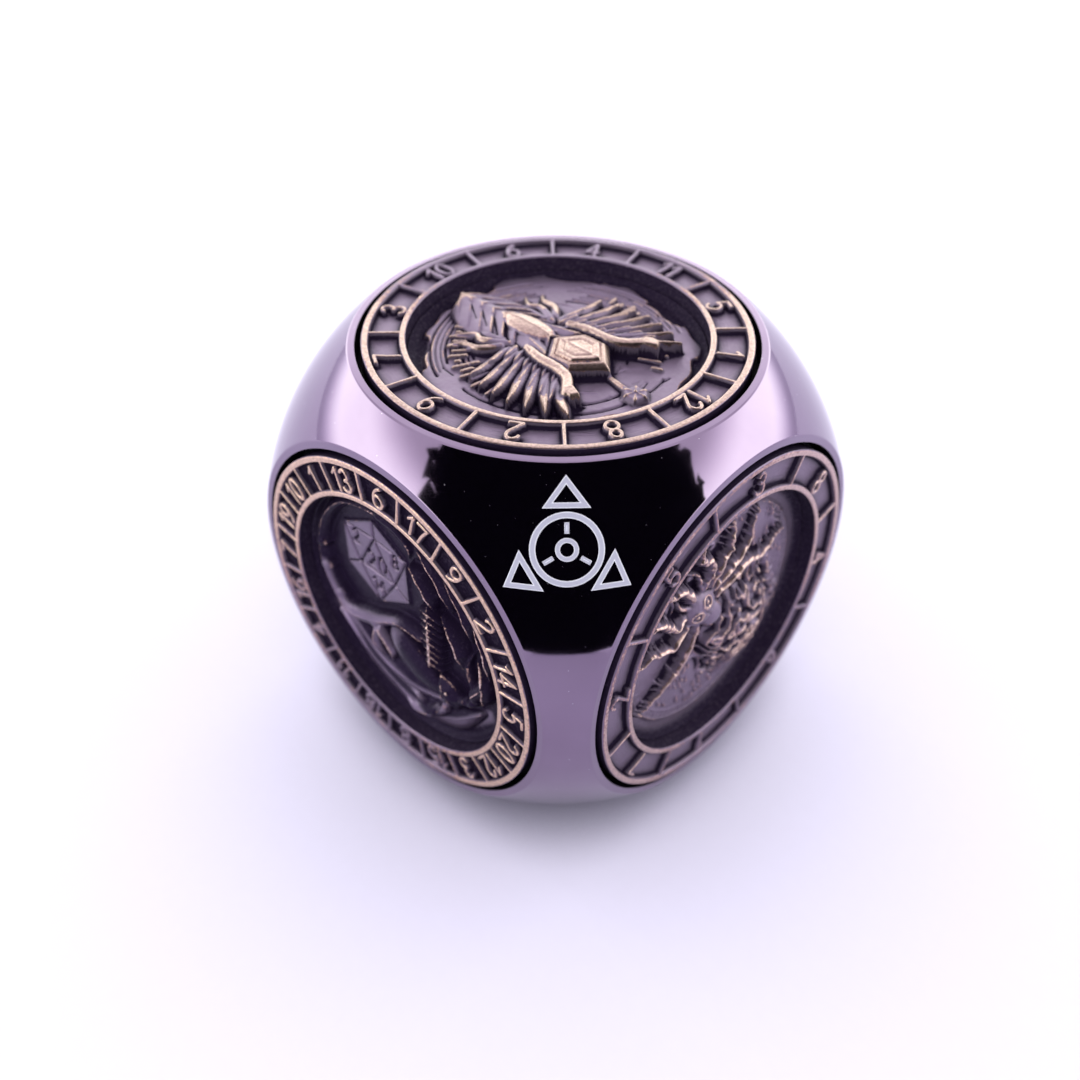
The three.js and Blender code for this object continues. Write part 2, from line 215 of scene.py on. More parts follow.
def blurred(image, radius):
    """A soft blur, with its radius in steps of the grid."""
    rows = np.fft.fftfreq(image.shape[0])[:, None]
    columns = np.fft.fftfreq(image.shape[1])[None, :]
    soft = np.exp(-2 * (math.pi * radius) ** 2 * (rows ** 2 + columns ** 2))
    return np.real(np.fft.ifft2(np.fft.fft2(image) * soft))


def mottle(shape, cells, seed):
    """Smooth random values from -1 to 1, with the given number of cells across."""
    lattice = np.random.default_rng(seed).uniform(-1, 1, (cells + 2, cells + 2))
    rows = np.linspace(0, cells, shape[0], endpoint=False)
    columns = np.linspace(0, cells, shape[1], endpoint=False)
    i, j = rows.astype(int), columns.astype(int)
    u, v = smooth(0, 1, rows - i)[:, None], smooth(0, 1, columns - j)[None, :]
    top = lattice[np.ix_(i, j)] * (1 - v) + lattice[np.ix_(i, j + 1)] * v
    bottom = lattice[np.ix_(i + 1, j)] * (1 - v) + lattice[np.ix_(i + 1, j + 1)] * v
    return top * (1 - u) + bottom * u


def polar(radius, degrees, cx=0.0, cy=0.0):
    return cx + radius * math.cos(math.radians(degrees)), cy + radius * math.sin(math.radians(degrees))


def spun(points, degrees):
    a = math.radians(degrees)
    return [(x * math.cos(a) - y * math.sin(a), x * math.sin(a) + y * math.cos(a)) for x, y in points]


def curve(points, steps=8):
    """A smooth path through the points."""
    points = np.array([points[0], *points, points[-1]], float)
    result = []
    for a, b, c, d in zip(points, points[1:], points[2:], points[3:]):
        for t in np.arange(steps) / steps:
            way = (c - a) * t + (2 * a - 5 * b + 4 * c - d) * t * t + (3 * b - a - 3 * c + d) * t ** 3
            result.append(tuple(0.5 * (2 * b + way)))
    return result + [tuple(points[-1])]


def near_path(x, y, path):
    """How far each point is from a path, how far along it from 0 to 1, and how far to its left."""
    best, along, side = np.full(x.shape, 1e9), np.zeros(x.shape), np.zeros(x.shape)
    lengths = [math.dist(a, b) for a, b in zip(path, path[1:])]
    run = 0.0
    for (ax, ay), (bx, by), length in zip(path, path[1:], lengths):
        ux, uy = (bx - ax) / length, (by - ay) / length
        s = np.clip((x - ax) * ux + (y - ay) * uy, 0, length)
        off = np.hypot(x - ax - s * ux, y - ay - s * uy)
        closer = off < best
        best = np.where(closer, off, best)
        along = np.where(closer, (run + s) / sum(lengths), along)
        side = np.where(closer, (y - ay) * ux - (x - ax) * uy, side)
        run += length
    return best, along, side


# ---- Numerals: plain single strokes ----

def arc(cx, cy, rx, ry, start, end, steps):
    angle = np.radians(np.linspace(start, end, steps + 1))
    return [(cx + rx * math.cos(a), cy + ry * math.sin(a)) for a in angle]


SIX = [arc(0.28, 0.29, 0.25, 0.29, 0, 360, 20), arc(0.53, 0.34, 0.5, 0.64, 101, 180, 8)]
DIGITS = {  # each digit is a list of strokes in a box 0.56 wide and 1 high
    "0": [arc(0.28, 0.5, 0.25, 0.5, 0, 360, 24)],
    "1": [[(0.02, 0.76), (0.24, 1.0), (0.24, 0.0)]],
    "2": [arc(0.28, 0.73, 0.24, 0.27, 168, -32, 12) + [(0.03, 0.0), (0.56, 0.0)]],
    "3": [arc(0.26, 0.75, 0.22, 0.25, 150, -90, 12) + arc(0.26, 0.26, 0.26, 0.26, 90, -155, 14)],
    "4": [[(0.42, 0.0), (0.42, 1.0), (0.02, 0.28), (0.58, 0.28)]],
    "5": [[(0.52, 1.0), (0.12, 1.0), (0.07, 0.53)] + arc(0.27, 0.31, 0.27, 0.31, 128, -150, 16)],
    "6": SIX,
    "7": [[(0.02, 1.0), (0.54, 1.0), (0.34, 0.5), (0.22, 0.0)]],
    "8": [arc(0.28, 0.76, 0.21, 0.24, 0, 360, 18), arc(0.28, 0.26, 0.26, 0.26, 0, 360, 20)],
    "9": [[(0.56 - x, 1 - y) for x, y in stroke] for stroke in SIX],
}
ADVANCE = 0.8
ADVANCE_AFTER_ONE = 0.5


def numeral(number, height):
    """Strokes of a whole number, centred on the origin."""
    strokes, x = [], 0.0
    for digit in str(number):
        strokes += [[(px + x, py) for px, py in stroke] for stroke in DIGITS[digit]]
        x += ADVANCE_AFTER_ONE if digit == "1" else ADVANCE
    width = x - (0.26 if str(number)[-1] == "1" else 0.24)
    return [[((px - width / 2) * height, (py - 0.5) * height) for px, py in stroke] for stroke in strokes]


# ---- Number dial ----

def dial_rows():
    """Radii of the dial's rows of points, from its edge to its well, closer together across the cells."""
    rim = [DIAL_RADIUS - inset for inset in (0.03, 0.09, 0.18, 0.28, 0.38)]
    cells = np.arange(DIAL_RADIUS - RIM_WIDTH + 0.11, INNER_RIM_OUTSIDE - 0.16, -0.062)
    lip = [WELL_RADIUS + inset for inset in (0.26, 0.17, 0.08, 0.03)]
    return np.concatenate([rim, cells, lip])[:, None]


def dial_piece(face, seed):
    """A ring of numbered cells, with the cup and hub under it. Rims, bars and digits are worn to brass."""
    radius = dial_rows()
    angle = (np.arange(DIAL_COLUMNS) * 2 * math.pi / DIAL_COLUMNS)[None, :]
    x, y = radius * np.sin(angle), radius * np.cos(angle)
    turn = math.radians(face.turn)
    cell = 2 * math.pi / len(face.numbers)

    # Distance outside the nearest raised feature, less than zero on top of one
    apart = np.minimum(DIAL_RADIUS - RIM_WIDTH - radius, radius - INNER_RIM_OUTSIDE)
    to_bar = np.abs((angle - turn) / cell % 1 - 0.5) * cell * radius
    apart = np.minimum(apart, to_bar - BAR_WIDTH / 2)
    middle = (DIAL_RADIUS - RIM_WIDTH + INNER_RIM_OUTSIDE) / 2 - 0.08
    for i, number in enumerate(face.numbers):
        heading = turn + i * cell
        near = np.abs((angle[0] - heading + math.pi) % (2 * math.pi) - math.pi) < DIGIT_REACH
        px, py = x[:, near], y[:, near]
        right = px * math.cos(heading) - py * math.sin(heading)
        up = px * math.sin(heading) + py * math.cos(heading) - middle
        gaps = [near_path(right, up, stroke)[0] for stroke in numeral(number, DIGIT_HEIGHT)]
        apart[:, near] = np.minimum(apart[:, near], np.min(gaps, axis=0) - STROKE)

    fall = smooth(-0.05, 0.14, apart)
    cast = mottle(apart.shape, 210, seed) * 0.5 + mottle(apart.shape, 90, seed + 1) * 0.5
    height = -(CELL_DEPTH - 0.04) * fall - 0.018 + 0.018 * cast * (0.6 + fall)
    height -= 0.1 * smooth(DIAL_RADIUS - 0.16, DIAL_RADIUS, radius) ** 2
    height -= 0.1 * smooth(WELL_RADIUS + 0.14, WELL_RADIUS, radius) ** 2
    height = np.minimum(height, 0)
    edge = smooth(DIAL_RADIUS - 0.14, DIAL_RADIUS - 0.02, radius)
    edge += smooth(WELL_RADIUS + 0.12, WELL_RADIUS, radius)
    wear = np.clip((1 - smooth(0.0, 0.16, fall)) * (0.92 + 0.2 * cast) - 0.6 * edge, 0, 1)
    # Painted shade: wear is taken away towards the headings in tarnish, so that side of the rim looks shaded.
    for heading, share in face.tarnish:
        wear *= 1 - share * smooth(-0.1, 0.9, np.cos(angle - math.radians(heading)))
    # Painted shade: near-black beside the walls of the rims, bars and digits (partly dirt in the corners),
    # and over the cell floors by the face's soot.
    grime = np.exp(-np.clip(apart - 0.14, 0, 9) / 0.3) * smooth(0.15, 0.6, fall)
    grime = np.maximum(grime, face.soot * fall)

    shell = Shell()
    top = shell.add(np.stack([x, y, FACE + height], axis=-1), wear=wear, grime=grime)
    shell.grid(top, closed=True)
    outer = creased([
        (DIAL_RADIUS, FACE - ROUNDING), (DIAL_RADIUS, FACE - RIM_THICKNESS),
        (CUP_RADIUS, FACE - RIM_THICKNESS), (CUP_RADIUS, CUP_BOTTOM),
        (BOSS_RADIUS, CUP_BOTTOM), (BOSS_RADIUS, BOSS_BOTTOM),
        (HUB_RADIUS, BOSS_BOTTOM), (HUB_RADIUS, HUB_END), (LAST_RING, HUB_END),
    ])
    inner = creased([(WELL_RADIUS, FACE - ROUNDING), (WELL_RADIUS, WELL_FLOOR), (LAST_RING, WELL_FLOOR)])
    # Painted shade: the cup and hub under the ring, and below, the well's wall, are painted dark as shade.
    under = shell.add(around(*np.hsplit(outer, 2), UNDER_COLUMNS), wear=0.06, grime=0.95)
    shell.grid(under[::-1], closed=True)
    shell.step(top[0], under[0], over=True)
    shell.fan(under[-1], HUB_END, over=True)
    well = shell.add(around(*np.hsplit(inner, 2), UNDER_COLUMNS), wear=0.05, grime=0.9)
    shell.grid(well, closed=True)
    shell.step(top[-1], well[0])
    shell.fan(well[-1], WELL_FLOOR)
    shell.flip()
    return shell.make(f"number_dial_{face.name}", face_axes(face))


# ---- Medallion reliefs ----

class Clay:
    """A height map that a relief is shaped on, in millimetres above the medallion's plate."""

    def __init__(self, size=600):
        self.extent = MEDALLION_RADIUS + 0.2
        self.axis = np.linspace(-self.extent, self.extent, size)
        self.x, self.y = np.meshgrid(self.axis, self.axis)
        self.r = np.hypot(self.x, self.y)
        self.h = np.zeros_like(self.x)
        # Painted shade: how much darker each place of the relief is painted, from 0 to 1.
        self.soot = np.zeros_like(self.x)
        self.pitch = self.axis[1] - self.axis[0]

    def part(self, points, margin):
        """The part of the map within a margin of some points."""
        points = np.array(points)
        low, high = points.min(0) - margin, points.max(0) + margin
        i = np.clip(((low + self.extent) / self.pitch).astype(int), 0, len(self.axis) - 1)
        j = np.clip(((high + self.extent) / self.pitch).astype(int) + 2, 1, len(self.axis))
        return slice(i[1], j[1]), slice(i[0], j[0])

    def path(self, points, margin):
        """Where the map is near a path, and what near_path says of it."""
        where = self.part(points, margin)
        return where, *near_path(self.x[where], self.y[where], points)

    def pile(self, where, inside, body):
        """Raises the map to a body where it is inside one and lower."""
        self.h[where] = np.where(inside, np.maximum(self.h[where], body), self.h[where])

    def limb(self, points, widths, heights, lift=0.0, shape=0.5, rings=0, ring_depth=0.0):
        """A raised limb along a path. shape 0.5 is round, 1 is a sharp ridge, and less is flatter."""
        where, off, along, _ = self.path(points, max(widths) + 0.3)
        width = np.interp(along, np.linspace(0, 1, len(widths)), widths)
        height = np.interp(along, np.linspace(0, 1, len(heights)), heights)
        if rings:
            wave = np.cos(2 * math.pi * rings * along)
            width = width * (1 + 0.1 * wave)
            height = height - ring_depth * (0.5 + 0.5 * wave) ** 3
        t = off / width
        self.pile(where, t < 1, lift + height * np.clip(1 - t * t, 0, 1) ** shape)

    def crested(self, points, widths, heights, lift, shape, crest=(0.09, 0.14)):
        """A limb with a fine raised line along it, of the given width and height."""
        self.limb(points, widths, heights, lift, shape)
        self.line(points, *crest)

    def feather(self, root, tip, width, lift, height, lean, barbs=False):
        """A pointed vane with a midrib. It leans to one side, so that vanes overlap like shingles."""
        where = self.part([root, tip], width + 0.2)
        x, y = self.x[where] - root[0], self.y[where] - root[1]
        length = math.dist(root, tip)
        ux, uy = (tip[0] - root[0]) / length, (tip[1] - root[1]) / length
        u, v = (x * ux + y * uy) / length, y * ux - x * uy
        inside_u = np.clip(u, 0, 1)
        t = v / (width * np.sin(math.pi * inside_u ** 0.62) ** 0.55 * (1 - 0.25 * inside_u) + 1e-6)
        body = lift + height * (1 - 0.75 * np.abs(t) ** 1.6) * (0.75 + 0.25 * inside_u) + lean * t
        body += 0.07 * bump_at(v, 0, 0.07)
        if barbs:
            body += 0.018 * np.sin((u * length + np.abs(v) * 1.3) * 17)
        self.pile(where, (np.abs(t) < 1) & (u > 0) & (u < 1), body)

    def mound(self, x, y, length, width, height, heading=0.0, lift=0.0, shape=0.5):
        """Part of an egg, its long axis along the heading in degrees."""
        where = self.part([(x, y)], max(length, width) / 2 + 0.2)
        a = math.radians(heading)
        dx, dy = self.x[where] - x, self.y[where] - y
        u = (dx * math.cos(a) + dy * math.sin(a)) / (length / 2)
        v = (dy * math.cos(a) - dx * math.sin(a)) / (width / 2)
        t = u * u + v * v
        self.pile(where, t < 1, lift + height * np.clip(1 - t, 0, 1) ** shape)

    def inside(self, corners, margin=0.3):
        """Where, and how far inside a polygon each point is (negative outside)."""
        where = self.part(corners, margin)
        x, y = self.x[where], self.y[where]
        off = near_path(x, y, corners + corners[:1])[0]
        within = np.zeros(x.shape, bool)
        for (ax, ay), (bx, by) in zip(corners, corners[1:] + corners[:1]):
            crosses = (ay > y) != (by > y)
            within ^= crosses & (x < ax + (y - ay) * (bx - ax) / (by - ay if by != ay else 1e-9))
        return where, np.where(within, off, -off)

    def slab(self, corners, lift, height, bevel=0.3):
        """A raised polygon with sloping sides."""
        where, depth = self.inside(corners)
        self.pile(where, depth > 0, lift + height * np.clip(depth / bevel, 0, 1) ** 0.7)

    def line(self, points, width, height):
        """A fine raised line that follows what is under it, or a groove if the height is negative."""
        where, off, *_ = self.path(points, width * 2)
        self.h[where] += height * np.exp(-(off / width) ** 2 * 1.5)

    def write(self, number, x, y, size, height, width):
        for stroke in numeral(number, size):
            self.line([(x + px, y + py) for px, py in stroke], width, height)

    def hoop(self, radius, width, height, start=0, end=360):
        heading = np.degrees(np.arctan2(self.y, self.x)) % 360
        reach = ((heading - start) % 360) <= (end - start)
        self.h += np.where(reach, height * np.exp(-((self.r - radius) / width) ** 2 * 1.5), 0)

    def cast(self, amount, seed):
        """The slight roughness of a casting."""
        for cells, share in ((24, 0.5), (60, 0.3), (150, 0.2)):
            self.h += amount * share * mottle(self.h.shape, cells, seed + cells)

    def sampled(self, image, x, y):
        """Values of an image of the map's size, at any places."""
        i, j = [np.clip((at + self.extent) / self.pitch, 0, len(self.axis) - 1.001) for at in (y, x)]
        i0, j0 = i.astype(int), j.astype(int)
        u, v = i - i0, j - j0
        return ((image[i0, j0] * (1 - v) + image[i0, j0 + 1] * v) * (1 - u)
                + (image[i0 + 1, j0] * (1 - v) + image[i0 + 1, j0 + 1] * v) * u)


def winged_beast(clay):
    """A winged beast seen from above, flying to the right over a broken clock plate."""
    heading = np.arctan2(clay.y, clay.x)
    notch = np.sin(7 * heading + 2)
    ragged = 11.2 + 0.4 * np.sin(3 * heading + 0.6) + 0.4 * np.sign(notch) * np.abs(notch) ** 0.3
    ragged += 0.15 * np.sin(19 * heading)
    clay.h = 0.34 * smooth(0.12, -0.1, clay.r - ragged)
    # Painted shade: the sunken ground outside the broken plate is darkened.
    clay.soot = 0.9 * smooth(-0.05, 0.3, clay.r - ragged)
    for k in range(10):
        clay.hoop(6.6 + 0.44 * k, 0.13, -0.16 if k % 3 else -0.26, 140 + 5 * (k % 4), 236 + 3 * (k % 5))
    for k in range(8):
        clay.hoop(7.4 + 0.45 * k, 0.12, -0.14 if k % 3 else -0.24, 60 - 4 * (k % 3), 128 - 4 * (k % 4))
    clay.hoop(8.4, 0.14, -0.2, 248, 352)
    clay.hoop(9.6, 0.16, -0.2, 262, 375)
    for k in range(30):
        a = 200 + 5.0 * k if k < 17 else 20 + 6.6 * (k - 17)
        tooth = [polar(6.9 + 0.7 * (k % 3), a), polar(8.6 + 0.4 * (k % 2), a)]
        clay.limb(tooth, (0.2, 0.2), (0.34, 0.34), 0.3, 0.2)
    rng = np.random.default_rng(12)
    for k in range(60):
        a, r = rng.uniform(0, 360), rng.uniform(5.5, 10)
        x, y = polar(r, a)
        way = a + 90 + rng.uniform(-25, 25)
        clay.line([(x, y), polar(rng.uniform(0.5, 1.6), way, x, y)], 0.09, rng.uniform(-0.2, 0.12))
    mid = -0.6
    claws = [
        ([(-2.6, 2.5), (-4.6, 3.5), (-5.8, 3.2), (-7.2, 4.2)], (0.6, 0.5, 0.34, 0.12), (0.95, 0.9, 0.7, 0.4)),
        ([(-2.8, 3.2), (-4.0, 4.5), (-5.6, 4.8), (-6.6, 5.7)], (0.55, 0.46, 0.32, 0.1), (0.9, 0.8, 0.6, 0.3)),
        ([(-3.2, 2.3), (-5.2, 2.6), (-6.8, 2.4)], (0.5, 0.4, 0.1), (0.8, 0.7, 0.3)),
    ]
    arm = curve([(-0.4, 2.5), (1.2, 2.9), (3.4, 3.0), (4.8, 3.5), (6.2, 5.0)])
    for flip in (1, -1):
        def at(points):
            return [(x, mid + flip * y) for x, y in points]
        for claw, widths, heights in claws:
            clay.limb(at(curve(claw)), widths, heights, 0.3)
        # Long flight feathers, then two shorter rows over their roots
        for k in range(7):
            vane = at([(-1.9 + 1.0 * k, 3.4 + 0.08 * k), (-1.6 + 1.62 * k, 8.0 + 0.62 * k - 0.135 * k * k)])
            clay.feather(*vane, 0.72 + 0.02 * k, 0.28 + 0.06 * k, 0.85, 0.2 * flip, barbs=True)
        for k in range(7):
            vane = at([(-2.0 + 0.95 * k, 2.8 + 0.05 * k), (-1.7 + 1.22 * k, 5.7 + 0.1 * k)])
            clay.feather(*vane, 0.6, 0.66 + 0.03 * k, 0.55, 0.14 * flip)
        for k in range(6):
            clay.feather(*at([(-1.6 + 0.9 * k, 2.4), (-1.2 + 1.05 * k, 4.4)]), 0.44, 0.95, 0.38, 0.09 * flip)
        # Arm along the wing's leading edge, cut square at the end
        clay.limb(at(arm), (0.4, 0.5, 0.5, 0.5, 0.52), (0.66, 0.7, 0.7, 0.72), 1.12, 0.22)
        clay.slab(at([(5.4, 5.1), (6.9, 5.5), (7.4, 4.6), (6.0, 4.0)]), 0.9, 0.95, 0.16)
    # Tapering tail and back, in overlapping chevron scales
    side = np.abs(clay.y - mid)
    stops = (-10.9, -10.2, -8.4, -6.0, -3.5, 0.5, 1.6)
    t = side / np.interp(clay.x, stops, (0.1, 2.0, 2.9, 3.3, 3.1, 2.4, 1.7))
    scale = (clay.x - 0.85 * side) / 1.35 % 1.0
    body = 0.45 + 0.95 * np.clip(1 - t, 0, 1) ** 0.6
    body += (0.16 + 0.22 * smooth(-7.5, -4.5, clay.x)) * scale ** 1.5 * smooth(1.0, 0.6, t)
    clay.h = np.maximum(clay.h, np.where((t < 1) & (clay.x > -10.9) & (clay.x < 1.6), body, 0))
    for flip in (1, -1):
        for k in range(6):
            start = (-9.4 + 1.5 * k, mid + flip * (0.35 + 0.1 * k))
            clay.line([start, (-7.2 + 1.5 * k, mid + flip * (1.7 + 0.25 * k))], 0.1, -0.14)
        # Shoulder plates
        clay.feather((-3.8, mid + flip * 0.6), (2.0, mid + flip * 2.3), 1.05, 1.0, 0.55, -0.14 * flip)
        clay.feather((-2.4, mid + flip * 1.2), (1.6, mid + flip * 3.0), 0.65, 0.9, 0.5, -0.12 * flip)
    clay.mound(-2.7, mid, 5.6, 2.6, 0.62, lift=1.25, shape=0.4)
    clay.line([(-5.2, mid), (-0.2, mid)], 0.1, 0.1)
    # Faceted head, nested outlines round a ridge
    head = [(-0.3, mid), (1.5, mid + 2.5), (4.0, mid + 2.5), (6.3, mid), (4.0, mid - 2.5), (1.5, mid - 2.5)]
    where, depth = clay.inside(head)
    crown = 1.1 + 0.66 * np.clip(depth / 0.6, 0, 1) ** 0.8 - 0.2 * bump_at(depth, 0.72, 0.12)
    crown += 0.1 * smooth(0.76, 0.96, depth) - 0.12 * bump_at(depth, 1.4, 0.1)
    crown += 0.1 * bump_at(clay.y[where], mid, 0.1) * smooth(0.8, 1.0, depth)
    clay.h[where] = np.where(depth > 0, crown, clay.h[where])
    # A rod that ends in a small cut stone
    clay.limb([(6.3, mid - 0.1), (8.4, mid - 0.5)], (0.24, 0.34), (0.45, 0.45), 0.28, 0.2)
    gem = (9.3, mid - 0.5)
    clay.slab([polar(1.35, 60 * k + 8, *gem) for k in range(6)], 0.25, 0.55, 0.4)
    for k in range(3):
        clay.line([polar(1.0, 60 * k + 8, *gem), polar(1.0, 60 * k + 188, *gem)], 0.08, 0.14)
    clay.cast(0.035, 11)


def scorpion(clay):
    """A scorpion, smooth and polished, whose tail curls round an outlined twenty-sided stone."""
    clay.h += 0.16 * smooth(10.8, 9.6, clay.r)
    # Broad polished folds behind the animal
    folds = [
        ([(-9.4, -5.2), (-5.2, -8.2), (0.0, -9.6), (5.0, -8.6), (8.8, -5.2)], (0.4, 1.7, 2.0, 1.6, 0.4), 0.7),
        ([(-8.2, -3.6), (-4.4, -6.4), (0.2, -7.4), (4.4, -6.6)], (0.4, 1.5, 1.6, 0.5), 0.9),
        ([(-10.8, 3.4), (-9.9, -2.4), (-6.4, -7.4)], (0.3, 1.0, 0.4), 0.6),
    ]
    for bends, widths, height in folds:
        points = curve(bends)
        clay.crested(points, widths, (height * 0.6, height, height * 0.7), 0.1, 0.8)
        # Painted highlight: on one side of each fold the painted shade is lifted, as if that side caught the
        # light.
        where, off, _, side = clay.path(points, 1.6)
        clay.soot[where] -= 0.7 * smooth(1.5, 0.6, off) * smooth(-0.1, 0.5, 0.3 - side)
    # Tail, with a crest along it
    tail = [(2.6, -0.2), (-0.6, -0.4), (-3.6, -2.2), (-7.4, -3.2), (-10.1, 0.6), (-9.6, 5.4), (-6.6, 9.3),
            (-2.4, 10.5), (0.4, 9.5)]
    widths = (0.7, 0.7, 1.2, 0.9, 0.8, 0.7, 0.6, 0.55, 0.2)
    clay.crested(curve(tail, 10), widths, (1.1, 1.1, 1.2, 1.0, 0.9, 0.8, 0.6), 0.12, 0.7, crest=(0.08, 0.14))
    sting = curve([(-1.8, 10.5), (0.2, 10.0), (1.3, 8.7), (1.0, 7.4)])
    clay.limb(sting, (0.75, 0.6, 0.3, 0.07), (0.9, 0.7, 0.3), 0.1, 0.7)
    knuckles = [(-3.9, -2.6, 2.6), (-6.3, -3.2, 2.3), (-8.6, -2.2, 2.1), (-9.9, 0.4, 1.9), (-10.1, 3.0, 1.7)]
    for x, y, size in knuckles:
        clay.mound(x, y, size, size * 0.8, 0.85, 20, 0.45, 0.6)
    for fork in ([(-2.9, -2.8), (-1.6, -4.6), (-2.1, -6.4)], [(-3.4, -3.2), (-3.8, -4.9), (-2.6, -6.3)]):
        clay.crested(curve(fork), (0.7, 0.6, 0.08), (1.1, 1.0, 0.4), 0.35, 0.8)
    # The stone: a hexagon round a triangle, with its visible edges and a few numerals
    cx, cy, size = -3.3, 4.4, 4.5
    rim = [polar(size, 90 + 60 * k, cx, cy) for k in range(6)]
    inner = [polar(size * 0.56, 90 + 120 * k, cx, cy) for k in range(3)]
    clay.slab(rim, 0.1, 0.3, 0.25)
    where, depth = clay.inside(rim)
    # Painted shade: the whole relief is darkened, as shade and dark reflection, less so on the stone.
    clay.soot += 0.93
    clay.soot[where] -= 0.6 * smooth(-0.1, 0.25, depth)
    for k in range(6):
        clay.line([rim[k], rim[(k + 1) % 6]], 0.14, 0.3)
    for k in range(3):
        clay.line([inner[k], inner[(k + 1) % 3]], 0.13, -0.26)
        for step in (-1, 0, 1):
            clay.line([inner[k], rim[(2 * k + step) % 6]], 0.13, -0.24)
    clay.write(20, cx, cy - 0.1, 1.7, -0.34, 0.17)
    for number, radius, heading in ((8, 2.85, 30), (2, 2.85, 150), (14, 2.7, 270)):
        clay.write(number, *polar(radius, heading, cx, cy), 1.35, -0.32, 0.15)
    # Folded legs: long leaves with a sharp ridge, stacked along the wall
    leaves = [
        ([(1.6, 7.6), (3.6, 6.6), (4.4, 4.2)], 0.85), ([(2.6, 10.4), (5.4, 8.6), (6.6, 5.4)], 1.0),
        ([(5.4, 9.6), (8.0, 7.2), (8.8, 3.6)], 1.0), ([(8.6, 7.0), (10.4, 4.2), (10.6, 0.6)], 0.9),
        ([(5.2, 4.4), (7.0, 2.6), (7.6, -0.4)], 0.9), ([(9.4, 2.4), (10.2, -0.4), (9.6, -3.4)], 0.9),
    ]
    for bends, width in leaves:
        widths = (0.08, width, width, 0.08)
        clay.crested(curve(bends, 10), widths, (0.7, 1.25, 1.25, 0.6), 0.2, 1.0, crest=(0.1, 0.16))
    # Body: a smooth shield, a row of ribs beside it, and the head
    clay.mound(1.3, -3.6, 7.2, 3.9, 1.1, -33, 0.5, 0.45)
    clay.line(curve([(-1.6, -1.0), (1.4, -0.9), (4.0, -2.6), (5.2, -5.2)]), 0.09, 0.16)
    for k in range(8):
        y = 3.9 - 0.82 * k
        rib = curve([(2.5 + 0.06 * k, y - 0.5), (3.9, y + 0.1), (5.3 - 0.05 * k, y - 0.6)])
        clay.crested(rib, (0.12, 0.42, 0.12), (0.8, 1.2, 0.8), 0.25, 0.8)
    clay.limb(curve([(3.8, 4.6), (3.9, 1.2), (3.7, -2.4)]), (0.2, 0.5, 0.4), (0.9, 1.2, 1.1), 0.35, 0.9)
    clay.slab([(4.4, -3.0), (6.2, -3.2), (7.2, -4.6), (6.6, -6.2), (5.0, -6.4), (3.9, -5.0)], 0.7, 0.8, 1.0)
    clay.line([(4.9, -3.8), (6.3, -5.5)], 0.08, 0.12)
    for x, y in ((5.7, -4.2), (5.1, -5.0)):
        clay.mound(x, y, 0.5, 0.5, 0.25, lift=1.35)
    # Both claws: arm, outer finger and inner finger
    claws = [
        ([(6.6, -4.6), (8.3, -3.8), (8.9, -2.0)], [(8.8, -2.2), (10.2, 0.2), (9.4, 2.6)],
         [(8.8, -1.8), (7.9, 0.2), (8.5, 2.2)]),
        ([(5.0, -6.2), (4.4, -8.0), (2.6, -9.2)], [(2.8, -9.2), (0.6, -10.2), (-1.4, -9.6)],
         [(2.6, -9.0), (0.8, -8.4), (-0.8, -9.0)]),
    ]
    for arm, outer, finger in claws:
        clay.limb(curve(arm), (0.5, 0.62, 0.8), (0.9, 1.0, 1.1), 0.3, 0.7, 3, 0.2)
        clay.limb(curve(outer), (0.85, 0.75, 0.08), (1.15, 0.9, 0.2), 0.3, 0.75)
        clay.limb(curve(finger), (0.5, 0.42, 0.06), (0.9, 0.7, 0.2), 0.3, 0.75)
        clay.line(curve(outer), 0.09, 0.14)
    # Painted highlight: the high parts at the lower left are lifted out of the painted shade, as polished
    # parts that catch the light.
    polish = smooth(0.75, 1.25, clay.h) * smooth(0.6, -1.4, clay.x) * smooth(1.6, 0.4, clay.y)
    clay.soot = np.clip(clay.soot - 0.6 * polish, 0, 1)
    clay.cast(0.012, 23)


